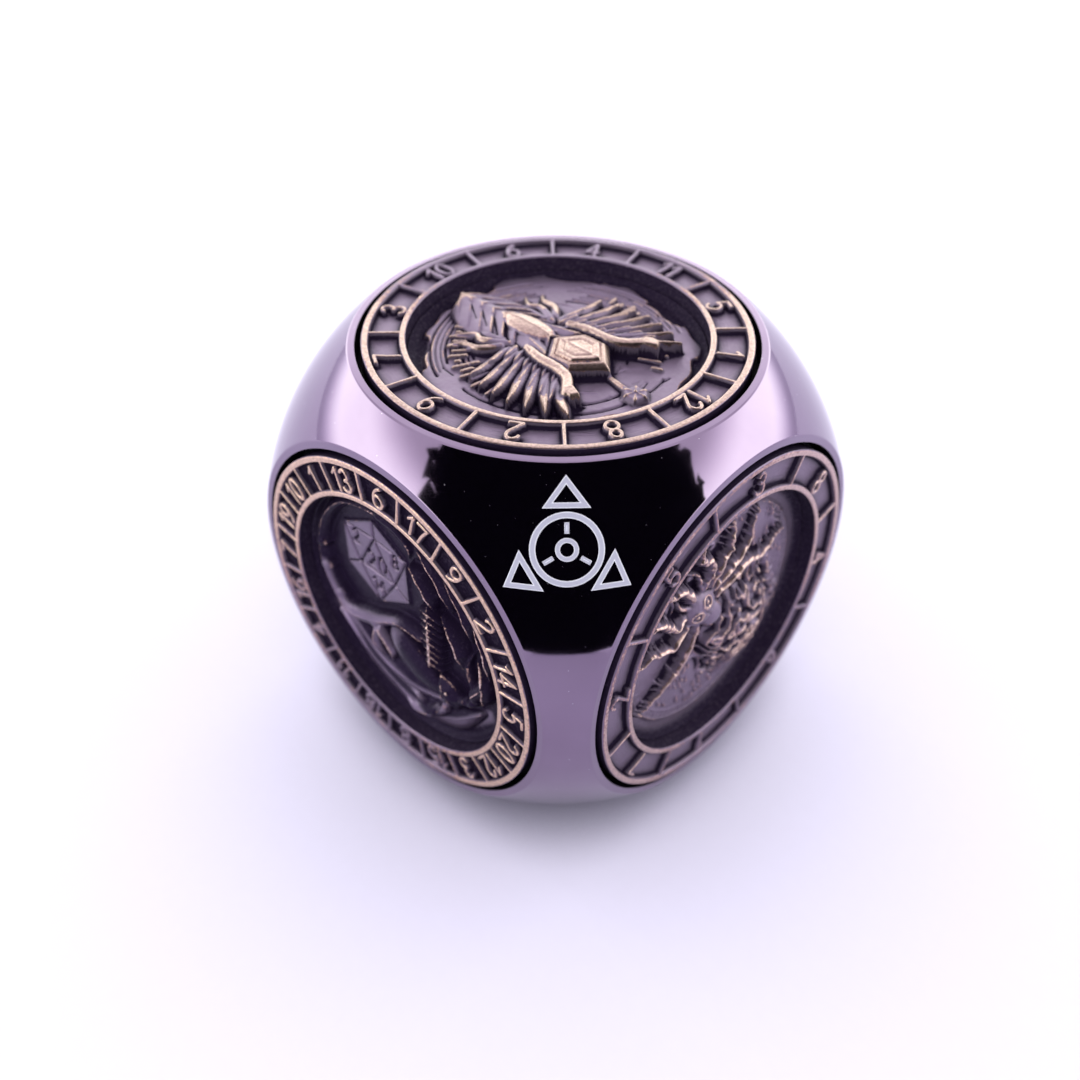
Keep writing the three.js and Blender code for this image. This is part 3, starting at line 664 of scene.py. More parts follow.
def spider(clay):
    """A hairy spider climbing to the upper left, over a round plate of scrub."""
    clay.h += 0.12 * smooth(10.9, 10.7, clay.r)
    clay.hoop(10.55, 0.08, 0.16)
    clay.hoop(9.75, 0.06, 0.1)
    rng = np.random.default_rng(5)
    for k in range(72):
        a = 5 * k + rng.uniform(-1, 1)
        clay.line([polar(9.9, a), polar(10.35, a + rng.uniform(-2, 2))], 0.08, 0.1)
    for k in range(150):
        a, r = rng.uniform(-150, 75), rng.uniform(5.2, 9.4)
        x, y = polar(r, a)
        blade = rng.uniform(0.5, 1.1)
        clay.limb([(x, y), (x + rng.uniform(-0.3, 0.3), y + blade)], (0.16, 0.03), (0.3, 0.12), 0.1, 0.8)
    legs = [
        [(-2.2, 5.0), (-0.7, 6.9), (0.5, 8.4), (0.7, 10.8)],
        [(-2.8, 5.4), (-2.3, 7.6), (-3.4, 8.8), (-2.9, 10.8)],
        [(-4.4, 5.0), (-5.6, 6.8), (-7.0, 7.0), (-8.2, 8.4)],
        [(-5.0, 3.4), (-7.0, 3.7), (-8.4, 4.9), (-10.6, 4.7)],
        [(-4.4, 2.4), (-6.8, 1.2), (-9.0, 1.9), (-11.3, 0.8)],
        [(-3.2, 1.6), (-4.7, -1.2), (-6.5, -3.2), (-9.8, -5.0)],
        [(-1.6, 4.4), (0.9, 5.4), (3.0, 6.6), (4.2, 9.4)],
        [(-0.8, 3.2), (2.6, 4.4), (5.4, 3.6), (8.6, 4.8)],
    ]
    for bends in legs:
        path = [(x + rng.normal(0, 0.1), y + rng.normal(0, 0.1)) for x, y in curve(bends, 7)]
        widths = (0.46, 0.56, 0.44, 0.32, 0.1)
        clay.crested(path, widths, (0.85, 1.15, 0.95, 0.7, 0.25), 0.25, 0.9, crest=(0.06, 0.08))
        for bristle in range(90):
            at = rng.uniform(0.5, len(path) - 1.5)
            k, share = int(at), at % 1
            (ax, ay), (bx, by) = path[k], path[k + 1]
            x, y = ax * (1 - share) + bx * share, ay * (1 - share) + by * share
            a = math.degrees(math.atan2(by - ay, bx - ax)) + rng.choice([-1, 1]) * rng.uniform(35, 75)
            height = rng.uniform(0.75, 1.15) * (1.1 - 0.4 * at / len(path))
            clay.limb([(x, y), polar(rng.uniform(0.4, 0.95), a, x, y)], (0.11, 0.03), (height, 0.3), 0.2, 0.9)
    # Abdomen under a matted coat that spreads in curls
    turn = 43
    ax, ay = spun([(0, -4.4)], turn)[0]
    clay.mound(ax, ay, 10.4, 8.6, 1.15, 90 + turn, 0.3, 0.7)
    shape = clay.h.shape
    coat = smooth(6.6, 4.4, np.hypot(clay.x - ax, clay.y - ay) + 0.8 * mottle(shape, 12, 75))
    drift, other = mottle(shape, 7, 71), mottle(shape, 7, 72)
    flow = clay.sampled(mottle(shape, 11, 73), clay.x + 2.3 * drift, clay.y + 2.3 * other)
    flow += 0.25 * clay.sampled(mottle(shape, 30, 74), clay.x + 1.1 * other, clay.y + 1.1 * drift)
    curl = np.abs((flow * 2.4) % 1.0 - 0.5) * 2
    clay.h += coat * (0.62 * smooth(0.3, 1.0, curl) - 0.22)
    ruck = smooth(6.0, 7.5, clay.r) * smooth(11.2, 10.2, clay.r) * smooth(0.1, 0.5, mottle(shape, 6, 76))
    clay.h += ruck * (1 - coat) * 0.26 * smooth(0.4, 1.0, curl)
    # Painted shade in a band beside the well's wall.
    clay.soot += 0.35 * smooth(9.6, 10.6, clay.r)
    # Head with two ringed eyes, small jaws and feelers
    clay.mound(*spun([(0, 1.9)], turn)[0], 3.4, 2.6, 1.1, 90 + turn, 0.4, 0.5)
    clay.mound(*spun([(0, 4.5)], turn)[0], 4.3, 3.7, 1.3, 90 + turn, 0.4, 0.45)
    for side in (1, -1):
        ex, ey = spun([(0.78 * side, 5.1)], turn)[0]
        where = clay.part([(ex, ey)], 1.2)
        off = np.hypot(clay.x[where] - ex, clay.y[where] - ey)
        for height, radius, width in ((0.14, 0.52, 0.11), (-0.16, 0.3, 0.1), (0.12, 0, 0.16)):
            clay.h[where] += height * bump_at(off, radius, width)
        jaw = spun(curve([(0.45 * side, 6.3), (0.8 * side, 7.1), (0.45 * side, 7.8)]), turn)
        clay.limb(jaw, (0.42, 0.34, 0.08), (0.8, 0.6, 0.2), 0.3, 0.6)
        feeler = spun(curve([(1.2 * side, 5.8), (2.2 * side, 7.3), (1.8 * side, 8.6)]), turn)
        clay.limb(feeler, (0.3, 0.26, 0.08), (0.8, 0.6, 0.2), 0.3, 0.6, 4, 0.15)
    clay.line(spun([(0, 3.0), (0, 4.8)], turn), 0.08, -0.14)
    clay.cast(0.05, 37)


def serpent(clay):
    """A coiled serpent with its head in the middle."""
    clay.h += 0.14 * smooth(11.2, 10.8, clay.r)
    for k in range(40):
        clay.limb([polar(9.9, 9 * k), polar(10.7, 9 * k + 3)], (0.22, 0.08), (0.25, 0.1), 0.1, 0.8)
    coil = [polar(9.0 - 0.0158 * k, 200 - k) for k in range(0, 600, 6)]
    widths = (0.12, 0.7, 1.0, 1.15, 1.2, 1.2, 1.15, 1.0)
    clay.limb(coil, widths, (0.4, 0.9, 1.15, 1.3, 1.35, 1.35, 1.3), 0.12, 0.6)
    where, off, along, side = clay.path(coil, 1.3)
    scales = np.abs(np.sin((along * 70 + side) * 3.2) * np.sin((along * 70 - side) * 3.2))
    clay.h[where] -= np.where(clay.h[where] > 0.5, 0.14 * (1 - scales) ** 4 * smooth(1.1, 0.8, off), 0)
    x, y = coil[-1]
    clay.mound(x + 0.6, y + 0.4, 4.0, 2.7, 0.75, 30, 1.0, 0.5)
    for flip in (1, -1):
        clay.mound(x + 1.0 - flip * 0.35, y + 0.65 + flip * 0.62, 0.6, 0.45, 0.18, 30, 1.52)
    for tip in ((x + 3.9, y + 3.2), (x + 4.5, y + 2.2)):
        tongue = curve([(x + 2.3, y + 1.4), (x + 3.4, y + 2.2), tip])
        clay.limb(tongue, (0.16, 0.12, 0.05), (0.4, 0.3, 0.15), 0.2)
    clay.cast(0.03, 41)


def bat(clay):
    """A bat with its wings spread, in front of a full moon."""
    clay.h += 0.14 * smooth(11.2, 10.8, clay.r)
    clay.h += 0.3 * smooth(0.15, -0.1, np.hypot(clay.x, clay.y - 2.2) - 6.4)
    craters = [(-2.6, 5.6, 1.1), (3.2, 4.9, 0.8), (0.6, 7.2, 0.6), (-4.2, 2.6, 0.7), (4.3, 1.4, 1.0)]
    for cx, cy, size in craters:
        off = np.hypot(clay.x - cx, clay.y - cy)
        clay.h += 0.08 * bump_at(off, size, 0.12) - 0.08 * smooth(size, size * 0.6, off)
    wrist = (4.6, 4.8)
    fingers = [(9.9, 3.4), (9.2, -1.0), (6.6, -3.6), (3.6, -5.2)]
    membrane = [(0.9, 2.0), wrist, fingers[0], fingers[1], (7.9, -0.4), fingers[2], (5.2, -2.3), fingers[3],
                (0.9, -3.0)]
    for flip in (1, -1):
        def at(points):
            return [(flip * x, y) for x, y in points]
        clay.slab(at(membrane), 0.3, 0.38, 1.6)
        for x, y in fingers:
            bone = [wrist, (4.6 + 0.62 * (x - 4.6) + 0.3, 4.8 + 0.45 * (y - 4.8)), (x, y)]
            clay.limb(at(curve(bone)), (0.3, 0.22, 0.08), (0.6, 0.5, 0.2), 0.5, 0.6)
        clay.limb(at(curve([(0.9, 1.6), (2.6, 3.0), wrist])), (0.6, 0.45, 0.4), (0.9, 0.8, 0.8), 0.4, 0.6)
        clay.limb(at([(4.6, 4.7), (5.0, 6.0)]), (0.25, 0.08), (0.5, 0.3), 0.6)
        clay.limb(at([(0.7, 4.9), (1.5, 6.9)]), (0.6, 0.1), (0.7, 0.3), 0.8, 0.8)
    clay.mound(0, -0.4, 7.2, 3.2, 1.0, 90, 0.6)
    clay.mound(0, 4.1, 2.9, 2.9, 0.75, lift=0.95)
    rng = np.random.default_rng(8)
    for k in range(150):
        x, y = rng.uniform(-1.3, 1.3), rng.uniform(-3.4, 2.6)
        clay.line([(x, y), (x + 0.15 * x, y - 0.6)], 0.07, 0.08)
    for flip in (1, -1):
        clay.mound(flip * 0.6, 4.4, 0.55, 0.55, 0.2, lift=1.6)
    clay.cast(0.03, 43)


def crab(clay):
    """A crab on rippled sand."""
    clay.h += 0.14 * smooth(11.2, 10.8, clay.r)
    ripple = clay.y * 1.9 + 0.9 * np.sin(clay.x * 0.7) + 1.6 * mottle(clay.h.shape, 7, 3)
    clay.h += 0.06 * np.sin(ripple * 2.2) * smooth(10.9, 10.0, clay.r)
    for flip in (1, -1):
        def at(points):
            return [(flip * x, y) for x, y in points]
        for k in range(4):
            leg = curve([(3.2, 0.4 - k), (6.2, 1.2 - 1.5 * k), (8.6 - 0.4 * k, -0.6 - 1.9 * k),
                         (8.9 - 0.8 * k, -2.4 - 1.8 * k)])
            clay.limb(at(leg), (0.6, 0.55, 0.36, 0.08), (0.9, 0.9, 0.6, 0.25), 0.2, 0.7, 3, 0.2)
        arm, outer, finger = [at(curve(bends)) for bends in (
            [(2.8, 1.8), (5.6, 2.6), (6.8, 4.6)], [(6.8, 4.4), (7.5, 6.6), (5.6, 9.0)],
            [(6.0, 5.0), (4.9, 6.6), (4.9, 8.2)])]
        clay.limb(arm, (0.7, 0.72, 0.75), (1.0, 1.0, 1.0), 0.25, 0.6, 3, 0.25)
        clay.limb(outer, (1.1, 1.25, 0.1), (1.2, 1.1, 0.3), 0.3, 0.6)
        clay.limb(finger, (0.7, 0.55, 0.08), (1.0, 0.8, 0.3), 0.3, 0.6)
        clay.limb(at([(1.1, 2.8), (1.6, 4.3)]), (0.3, 0.34), (0.7, 0.9), 0.4)
    clay.mound(0, 0, 9.6, 7.0, 1.3, lift=0.3, shape=0.45)
    for x, y, size in ((0, 1.2, 1.5), (2.2, 0.4, 1.2), (0, -1.5, 1.7), (1.9, -1.6, 0.9)):
        off = np.hypot(np.abs(clay.x) - x, clay.y - y)
        clay.h += 0.12 * np.exp(-(off / size / 0.5) ** 4) * smooth(4.2, 3.0, np.abs(clay.x))
    clay.cast(0.03, 47)


def disc_points(count, radius):
    """A square of points pressed evenly into a disc."""
    a, b = np.meshgrid(np.linspace(-1, 1, count), np.linspace(-1, 1, count))
    wide = np.abs(a) > np.abs(b)
    with np.errstate(divide="ignore", invalid="ignore"):
        angle = np.nan_to_num(np.where(wide, math.pi / 4 * b / a, math.pi / 2 - math.pi / 4 * a / b))
    size = np.where(wide, a, b)
    return radius * size * np.cos(angle), radius * size * np.sin(angle)


def medallion_piece(face):
    """A relief on its plate. High parts are worn to brass; hollows get patina and painted shade, steep sides
    painted shade.
    """
    clay = Clay()
    face.relief(clay)
    clay.h += 0.75 * smooth(MEDALLION_RADIUS - 0.9, MEDALLION_RADIUS + 0.1, clay.r) ** 2
    clay.h = np.clip(blurred(clay.h, 0.9), -0.3, RELIEF_LIMIT)
    fine, broad, wide = [clay.h - blurred(clay.h, radius) for radius in (3.5, 11, 24)]
    slope = np.hypot(*np.gradient(clay.h, clay.pitch))
    high = smooth(0.04, 0.35, broad) * 0.5 + smooth(0.15, 0.7, wide) * 0.4
    high += smooth(0.7, 0.92, clay.h / clay.h.max()) * 0.8
    wear = smooth(0.01, 0.09, fine) * (0.34 + 0.36 * face.gold) + face.gold * high
    wear *= 1 - 0.75 * smooth(1.0, 2.4, slope)
    wear *= 1 - smooth(MEDALLION_RADIUS - 0.8, MEDALLION_RADIUS - 0.2, clay.r)
    # Painted shade: hollows (also dark patina), steep sides, a band by the well's wall, and the relief's
    # soot.
    grime = smooth(-0.005, -0.09, fine) * 0.7 + smooth(-0.02, -0.25, broad) * 0.8
    grime += smooth(1.0, 3.0, slope) * 0.4
    wall_shade = 0.9 * smooth(MEDALLION_RADIUS - 1.4, MEDALLION_RADIUS - 0.3, clay.r)
    grime = np.maximum(np.maximum(grime, wall_shade), clay.soot)

    x, y = disc_points(face.grid, MEDALLION_RADIUS)
    height = PLATE_TOP + clay.sampled(clay.h, x, y)
    wear, grime = [np.clip(clay.sampled(image, x, y), 0, 1) for image in (wear, grime)]
    shell = Shell()
    top = shell.add(np.stack([x, y, height], axis=-1), wear=wear, grime=grime)
    shell.grid(top)
    wall = [np.concatenate([top[0, :-1], top[:-1, -1], top[-1, :0:-1], top[:0:-1, 0]])]
    edge = shell.points[0][wall[0]]
    # The plate's edge is painted dark, as shade.
    for height, inset in ((PLATE_BOTTOM + PLATE_BEVEL, 0), (PLATE_BOTTOM, PLATE_BEVEL)):
        ring = edge * (MEDALLION_RADIUS - inset) / MEDALLION_RADIUS
        ring[:, 2] = height
        wall.append(shell.add(ring, grime=0.8))
    shell.grid(np.stack(wall)[::-1], closed=True)
    shell.fan(wall[-1], PLATE_BOTTOM, over=True)
    return shell.make(f"relief_medallion_{face.name}", face_axes(face))


# ---- The six faces ----

# turn: how far the dial is from the body's axes, clockwise in degrees. grid: points across the relief.
# tarnish: headings on the ring where the rim is painted darker, as shade, with how much wear it lacks there.
# tone: tint of the brass, a lighter or darker copy per dial, as painted light. soot: painted
# shade in the low parts. gold: wear of the relief's high parts.
Face = namedtuple("Face", "name out up relief grid numbers tarnish turn tone soot gold",
                  defaults=(0, (1.0, 1.0, 1.0), 0.25, 0.9))
FACES = [
    Face("d12", (0, 0, 1), (0, 1, 0), winged_beast, 300, [11, 5, 1, 12, 8, 2, 9, 7, 3, 10, 6, 4],
         [(322, 0.62), (272, 0.3)], tone=(0.86, 0.86, 0.9), soot=0.0, gold=1.0),
    Face("d20", (0, -1, 0), (0, 0, 1), scorpion, 280,
         [6, 17, 9, 2, 14, 5, 20, 12, 3, 15, 8, 18, 11, 4, 16, 7, 19, 10, 1, 13],
         [(215, 0.5), (150, 0.2)], tone=(1.32, 1.29, 1.15), soot=0.9, gold=0.12),
    Face("d8", (1, 0, 0), (0, 0, 1), spider, 280, [3, 8, 4, 6, 1, 7, 2, 5],
         [(157, 0.54), (322, 0.48)], turn=7, tone=(1.06, 1.04, 1.13), soot=0.05, gold=0.4),
    Face("d10", (0, 0, -1), (0, 1, 0), serpent, 220, [10, 3, 8, 1, 6, 5, 2, 9, 4, 7], [(60, 0.4)]),
    Face("d6", (-1, 0, 0), (0, 0, 1), bat, 240, [6, 2, 4, 1, 5, 3], [(250, 0.4)]),
    Face("d4", (0, 1, 0), (0, 0, 1), crab, 240, [4, 1, 3, 2], [(130, 0.4)]),
]


# ---- Body ----

def body_piece():
    """A ball cut to six flats. Each point has its surface's exact normal, so that the polish is smooth."""
    angle = np.arange(BODY_COLUMNS) * 2 * math.pi / BODY_COLUMNS
    lip = math.sqrt(BALL_RADIUS ** 2 - FLAT ** 2)
    start = math.asin((lip + LIP_ROUNDING) / BALL_RADIUS)
    limit = np.arctan(1 / np.maximum(np.abs(np.cos(angle)), np.abs(np.sin(angle))))
    tilt = start + (limit - start) * np.linspace(1, 0, BALL_ROWS)[:, None]
    ball = around(np.sin(tilt), np.cos(tilt), BODY_COLUMNS)

    up, inward = (0, 1), (-1, 0)
    profile = np.array([  # radius, height, and the surface's normals before and after the point
        (lip - 0.09, FLAT, *up, *up), (SEAT_RADIUS + SEAT_BEVEL, FLAT, *up, *up),
        (SEAT_RADIUS, FLAT - SEAT_BEVEL, *inward, *inward), (SEAT_RADIUS, SEAT_FLOOR, *inward, *up),
        (POCKET_RADIUS, SEAT_FLOOR, *up, *inward), (POCKET_RADIUS, POCKET_FLOOR, *inward, *up),
        (BEARING_RADIUS, POCKET_FLOOR, *up, *inward), (BEARING_RADIUS, BEARING_FLOOR, *inward, *up),
        (BORE_RADIUS, BEARING_FLOOR, *up, *inward), (BORE_RADIUS, BORE_FLOOR, *inward, *up),
    ])
    turned = [around(*np.hsplit(part, 2), BODY_COLUMNS) for part in np.hsplit(profile, 3)]
    rows, before, after = [np.concatenate(parts) for parts in zip((ball * BALL_RADIUS, ball, ball), turned)]

    def corners_of(upper, lower):
        """What the two rows of each face hold at its four corners."""
        upper, lower = upper[:-1], lower[1:]
        return np.stack([upper, lower, np.roll(lower, -1, 1), np.roll(upper, -1, 1)], axis=2)

    height, width = rows.shape[:2]
    number = np.arange(height * width).reshape(height, width)
    centre = height * width
    quads = corners_of(number, number).reshape(-1)
    normals = corners_of(after, before).reshape(-1, 3)
    floor = np.stack([number[-1], np.full(width, centre), np.roll(number[-1], -1)], axis=1).reshape(-1)
    place = np.concatenate([rows.reshape(-1, 3), [[0, 0, BORE_FLOOR]]])
    deep = np.append(np.repeat(np.arange(height) > BALL_ROWS + 1, width), True)

    # The same side six times. Points that two sides share are joined
    axes = [face_axes(face) for face in FACES]
    shifts = [order * (centre + 1) for order in range(len(FACES))]
    points = np.round(np.concatenate([place @ turn for turn in axes]), 4)
    points, first, index = np.unique(points, axis=0, return_index=True, return_inverse=True)
    corners = np.concatenate([part + shift for part in (quads, floor) for shift in shifts])
    sizes = np.repeat([4, 3], [len(quads) // 4 * len(FACES), width * len(FACES)])
    # Painted shade: the points inside the seats, which the plating paints near-black.
    pocket = np.tile(deep, len(FACES))[first]
    piece = mesh_object("die_body", points, index.reshape(-1)[corners], sizes, pocket=pocket)
    floor_normals = [np.tile(turn[2], (3 * width, 1)) for turn in axes]
    normals = np.concatenate([normals @ turn for turn in axes] + floor_normals)
    normals /= np.linalg.norm(normals, axis=1, keepdims=True)
    piece.data.normals_split_custom_set(normals.tolist())
    return piece


def corner_axes(corner):
    """Rows that carry a corner's own x (to the right), y (towards the top or bottom dial) and z (out)."""
    out = np.array(corner, float) / math.sqrt(3)
    right = np.cross([0, 0, math.copysign(1, corner[2])], out)
    right /= np.linalg.norm(right)
    return np.stack([right, np.cross(out, right), out])


def divided(corners, steps):
    """A closed outline with its straight sides divided."""
    return [((1 - k / steps) * ax + k / steps * bx, (1 - k / steps) * ay + k / steps * by)
            for (ax, ay), (bx, by) in zip(corners, corners[1:] + corners[:1]) for k in range(steps)]


def mark_piece(name, corner):
    """The etched index mark: a ring, and a hollow dart towards each of the three dials beside the corner."""
    circle = np.array([polar(1, 7.5 * k) for k in range(48)])
    loops = [(outer * circle, inner * circle) for outer, inner in ((2.7, 2.25), (0.85, 0.5))]
    side = math.hypot(DART_TIP - DART_FOOT, DART_HALF_WIDTH)
    tip = DART_TIP - DART_STROKE * side / DART_HALF_WIDTH
    half = DART_HALF_WIDTH - DART_STROKE * (side + DART_HALF_WIDTH) / (DART_TIP - DART_FOOT)
    foot = DART_FOOT + DART_STROKE
    dart = [(0, DART_TIP), (-DART_HALF_WIDTH, DART_FOOT), (DART_HALF_WIDTH, DART_FOOT)]
    tick = [(-0.17, 1.15), (0.17, 1.15), (0.17, 1.95), (-0.17, 1.95)]
    outlines = [
        (dart, [(0, tip), (-half, foot), (half, foot)], 12),
        (tick, [(0.0, 1.35), (0.0, 1.35), (0.0, 1.75), (0.0, 1.75)], 6),
    ]
    for turn in (0, 120, 240):
        for outer, inner, steps in outlines:
            loops.append([np.array(spun(divided(outline, steps), turn)) for outline in (outer, inner)])
    shell = Shell()
    top, bottom = BALL_RADIUS + MARK_RISE, BALL_RADIUS - MARK_SINK
    for outer, inner in loops:
        rows = []
        for share, radius in ((0, bottom), (0, top), (0.3, top), (0.7, top), (1, top), (1, bottom)):
            flat = (1 - share) * outer + share * inner
            rows.append(np.hstack([flat, np.sqrt(radius ** 2 - (flat ** 2).sum(1, keepdims=True))]))
        # wear here is 1 at each stroke's edges and 0 in its middle, for a painted highlight on the edges.
        numbers = shell.add(np.array(rows), wear=np.array([1, 1, 0, 0, 1, 1])[:, None])
        shell.grid(numbers[[0, 1, 2, 3, 4, 5, 0]], closed=True)
    return shell.make(name, corner_axes(corner))


# ---- Materials ----

class Graph:
    """The nodes of a material or a world. Textures lie in the object's own frame, in millimetres."""

    def __init__(self, owner):
        self.owner = owner
        owner.use_nodes = True
        self.tree = owner.node_tree
        self.tree.nodes.clear()
        self.coordinates = self.node("TexCoord").outputs

    def node(self, kind, inputs=None, **settings):
        node = self.tree.nodes.new("ShaderNode" + kind)
        for key, value in settings.items():
            setattr(node, key, value)
        for key, value in (inputs or {}).items():
            if isinstance(value, bpy.types.NodeSocket):
                self.tree.links.new(value, node.inputs[key])
            else:
                node.inputs[key].default_value = value
        return node

    def maths(self, operation, a, b, clamp=False):
        return self.node("Math", {0: a, 1: b}, operation=operation, use_clamp=clamp).outputs[0]

    def plus(self, a, b):
        return self.maths("ADD", a, b)

    def less(self, a, b):
        return self.maths("SUBTRACT", a, b)

    def times(self, a, b, clamp=False):
        return self.maths("MULTIPLY", a, b, clamp)

    def place(self, *scales):
        """The place in millimetres, stretched along its axes if scales are given."""
        place = self.coordinates["Object"]
        for scale in ((1 / MM, 1 / MM, 1 / MM), *scales):
            place = self.node("VectorMath", {0: place, 1: scale}, operation="MULTIPLY").outputs[0]
        return place

    def noise(self, scale, detail, rough=0.55, *stretch):
        inputs = {"Vector": self.place(*stretch), "Scale": scale, "Detail": detail, "Roughness": rough}
        return self.node("TexNoise", inputs).outputs[0]

    def specks(self, scale, size):
        """1 inside small scattered dots."""
        cells = self.node("TexVoronoi", {"Vector": self.place(), "Scale": scale, "Randomness": 1.0})
        return self.span(cells.outputs["Distance"], size, size * 0.6)

    def span(self, value, low, high, to_low=0.0, to_high=1.0):
        """Changes softly from to_low to to_high as the value goes from low to high."""
        inputs = {"Value": value, "From Min": low, "From Max": high, "To Min": to_low, "To Max": to_high}
        return self.node("MapRange", inputs, interpolation_type="SMOOTHSTEP").outputs[0]

    def blend(self, share, a, b):
        a, b = [value if isinstance(value, bpy.types.NodeSocket) else (*value, 1.0) for value in (a, b)]
        return self.node("Mix", {0: share, 6: a, 7: b}, data_type="RGBA").outputs[2]

    def value(self, name):
        return self.node("Attribute", attribute_name=name).outputs["Fac"]

    def bump(self, height, depth, strength):
        inputs = {"Height": height, "Distance": depth * MM, "Strength": strength}
        return self.node("Bump", inputs).outputs[0]

    def surface(self, **inputs):
        named = {key.replace("_", " "): value for key, value in inputs.items()}
        shader = self.node("BsdfPrincipled", named)
        self.node("OutputMaterial", {"Surface": shader.outputs[0]})
        return self.owner


def new_material(name):
    return Graph(bpy.data.materials.new(name))


def shade(colour, *factors):
    """A colour times one factor, or times one for each channel."""
    return tuple(c * f for c, f in zip(colour, factors * (3 // len(factors))))


def gunmetal():
    g = new_material("black_nickel")
    smudge, haze = g.noise(0.16, 4), g.noise(0.9, 5, 0.6)
    lint, pocket = g.specks(1.1, 0.045), g.value("pocket")
    scuff = g.span(g.noise(5.0, 2, 0.5, (0.25, 1.6, 5.0)), 0.71, 0.74)
    colour = g.blend(smudge, (0.2, 0.149, 0.22), (0.25, 0.19, 0.275))
    colour = g.blend(g.times(lint, 0.8), colour, (0.62, 0.6, 0.66))
    # Painted shade: the seats round the dials are painted near-black and rough.
    colour = g.blend(pocket, colour, (0.005, 0.004, 0.006))
    rough = g.plus(g.span(smudge, 0.35, 0.75, 0.035, 0.075), g.times(haze, 0.03))
    rough = g.plus(rough, g.times(g.plus(lint, g.times(scuff, 0.25)), 0.3))
    rough = g.plus(rough, g.times(pocket, 0.5))
    ripple = g.bump(g.noise(0.35, 1), 0.01, 0.35)
    return g.surface(Base_Color=colour, Metallic=1.0, Roughness=rough, Normal=ripple)


def brass(name, gold, patina, polish):
    """Antique brass: gold where it is worn, a dark patina in the recesses, and painted shade where grime is
    high.
    """
    g = new_material(name)
    cloud, fine, grit = g.noise(0.45, 4), g.noise(4.2, 5, 0.65), g.noise(12.0, 3, 0.7)
    worn = g.plus(g.value("wear"), g.times(g.less(fine, 0.5), 0.75))
    worn = g.span(g.plus(worn, g.times(g.less(cloud, 0.5), 0.35)), 0.36, 0.66)
    grime = g.times(g.value("grime"), g.span(fine, 0.2, 0.7, 0.95, 1.2), clamp=True)
    low = g.blend(cloud, shade(patina, 0.85), shade(patina, 1.25))
    # Painted shade: by grime the patina goes near-black, and below it loses metal and gleam too.
    low = g.blend(grime, low, shade(patina, 0.06, 0.045, 0.09))
    high = g.blend(g.span(fine, 0.35, 0.65), shade(gold, 0.62), gold)
    high = g.blend(g.times(g.span(grit, 0.58, 0.68), 0.65), high, shade(patina, 0.9))
    colour = g.blend(g.span(worn, 0.0, 0.55), low, shade(gold, 0.56, 0.42, 0.4))
    colour = g.blend(g.span(worn, 0.35, 1.0), colour, high)
    rough = g.plus(g.span(worn, 0, 1, polish + 0.14, polish), g.times(grit, 0.14))
    rough = g.plus(rough, g.times(grime, 0.5 * polish))
    dull = g.times(grime, g.less(1.0, worn))
    metal = g.less(g.span(worn, 0, 1, 0.9, 1.0), g.times(dull, 0.7))
    gleam = g.less(0.5, g.times(dull, 0.47))
    skin = g.bump(g.plus(g.times(fine, 0.6), g.times(grit, 0.4)), 0.035, 0.6)
    return g.surface(Base_Color=colour, Metallic=metal, Roughness=rough, Specular_IOR_Level=gleam,
                     Normal=skin)


def etched():
    g = new_material("etched_mark")
    frost = g.noise(9.0, 3)
    colour = g.blend(frost, (0.24, 0.235, 0.31), (0.31, 0.305, 0.38))
    # Painted highlight and shade: strokes light at their edges, as if bevels caught the light, darker in the
    # middle.
    colour = g.blend(g.span(g.value("wear"), 0.25, 0.95), colour, (0.6, 0.6, 0.66))
    return g.surface(Base_Color=colour, Metallic=0.0, Roughness=0.55, Normal=g.bump(frost, 0.01, 0.4))


def steel(name, colour, grain):
    """Ground steel with fine lines and a film of oil."""
    g = new_material(name)
    grind, film = g.noise(grain, 3, 0.6), g.noise(0.6, 3)
    rough = g.plus(g.span(film, 0.3, 0.7, 0.14, 0.26), g.times(grind, 0.1))
    tint = g.blend(grind, shade(colour, 0.86), colour)
    return g.surface(Base_Color=tint, Metallic=1.0, Roughness=rough, Normal=g.bump(grind, 0.004, 0.5))


# ---- The object ----

def dress(piece, material, body, slot, *nodes):
    """Links a piece with its material, parents it to the body that it moves with, and hides the CAD nodes it
    stands for.
    """
    bpy.context.scene.collection.objects.link(piece)
    piece.data.materials.append(material)
    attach(piece, body)
    if nodes:
        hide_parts(*nodes)


GOLD = (0.56, 0.397, 0.335)
PATINA = (0.19, 0.143, 0.205)
race_steel = steel("race_steel", (0.72, 0.73, 0.75), 6.0)
cage_steel = steel("cage_steel", (0.62, 0.6, 0.56), 14.0)
inside_parts = {"inner_race": race_steel, "outer_race": race_steel, "ball_cage": cage_steel}

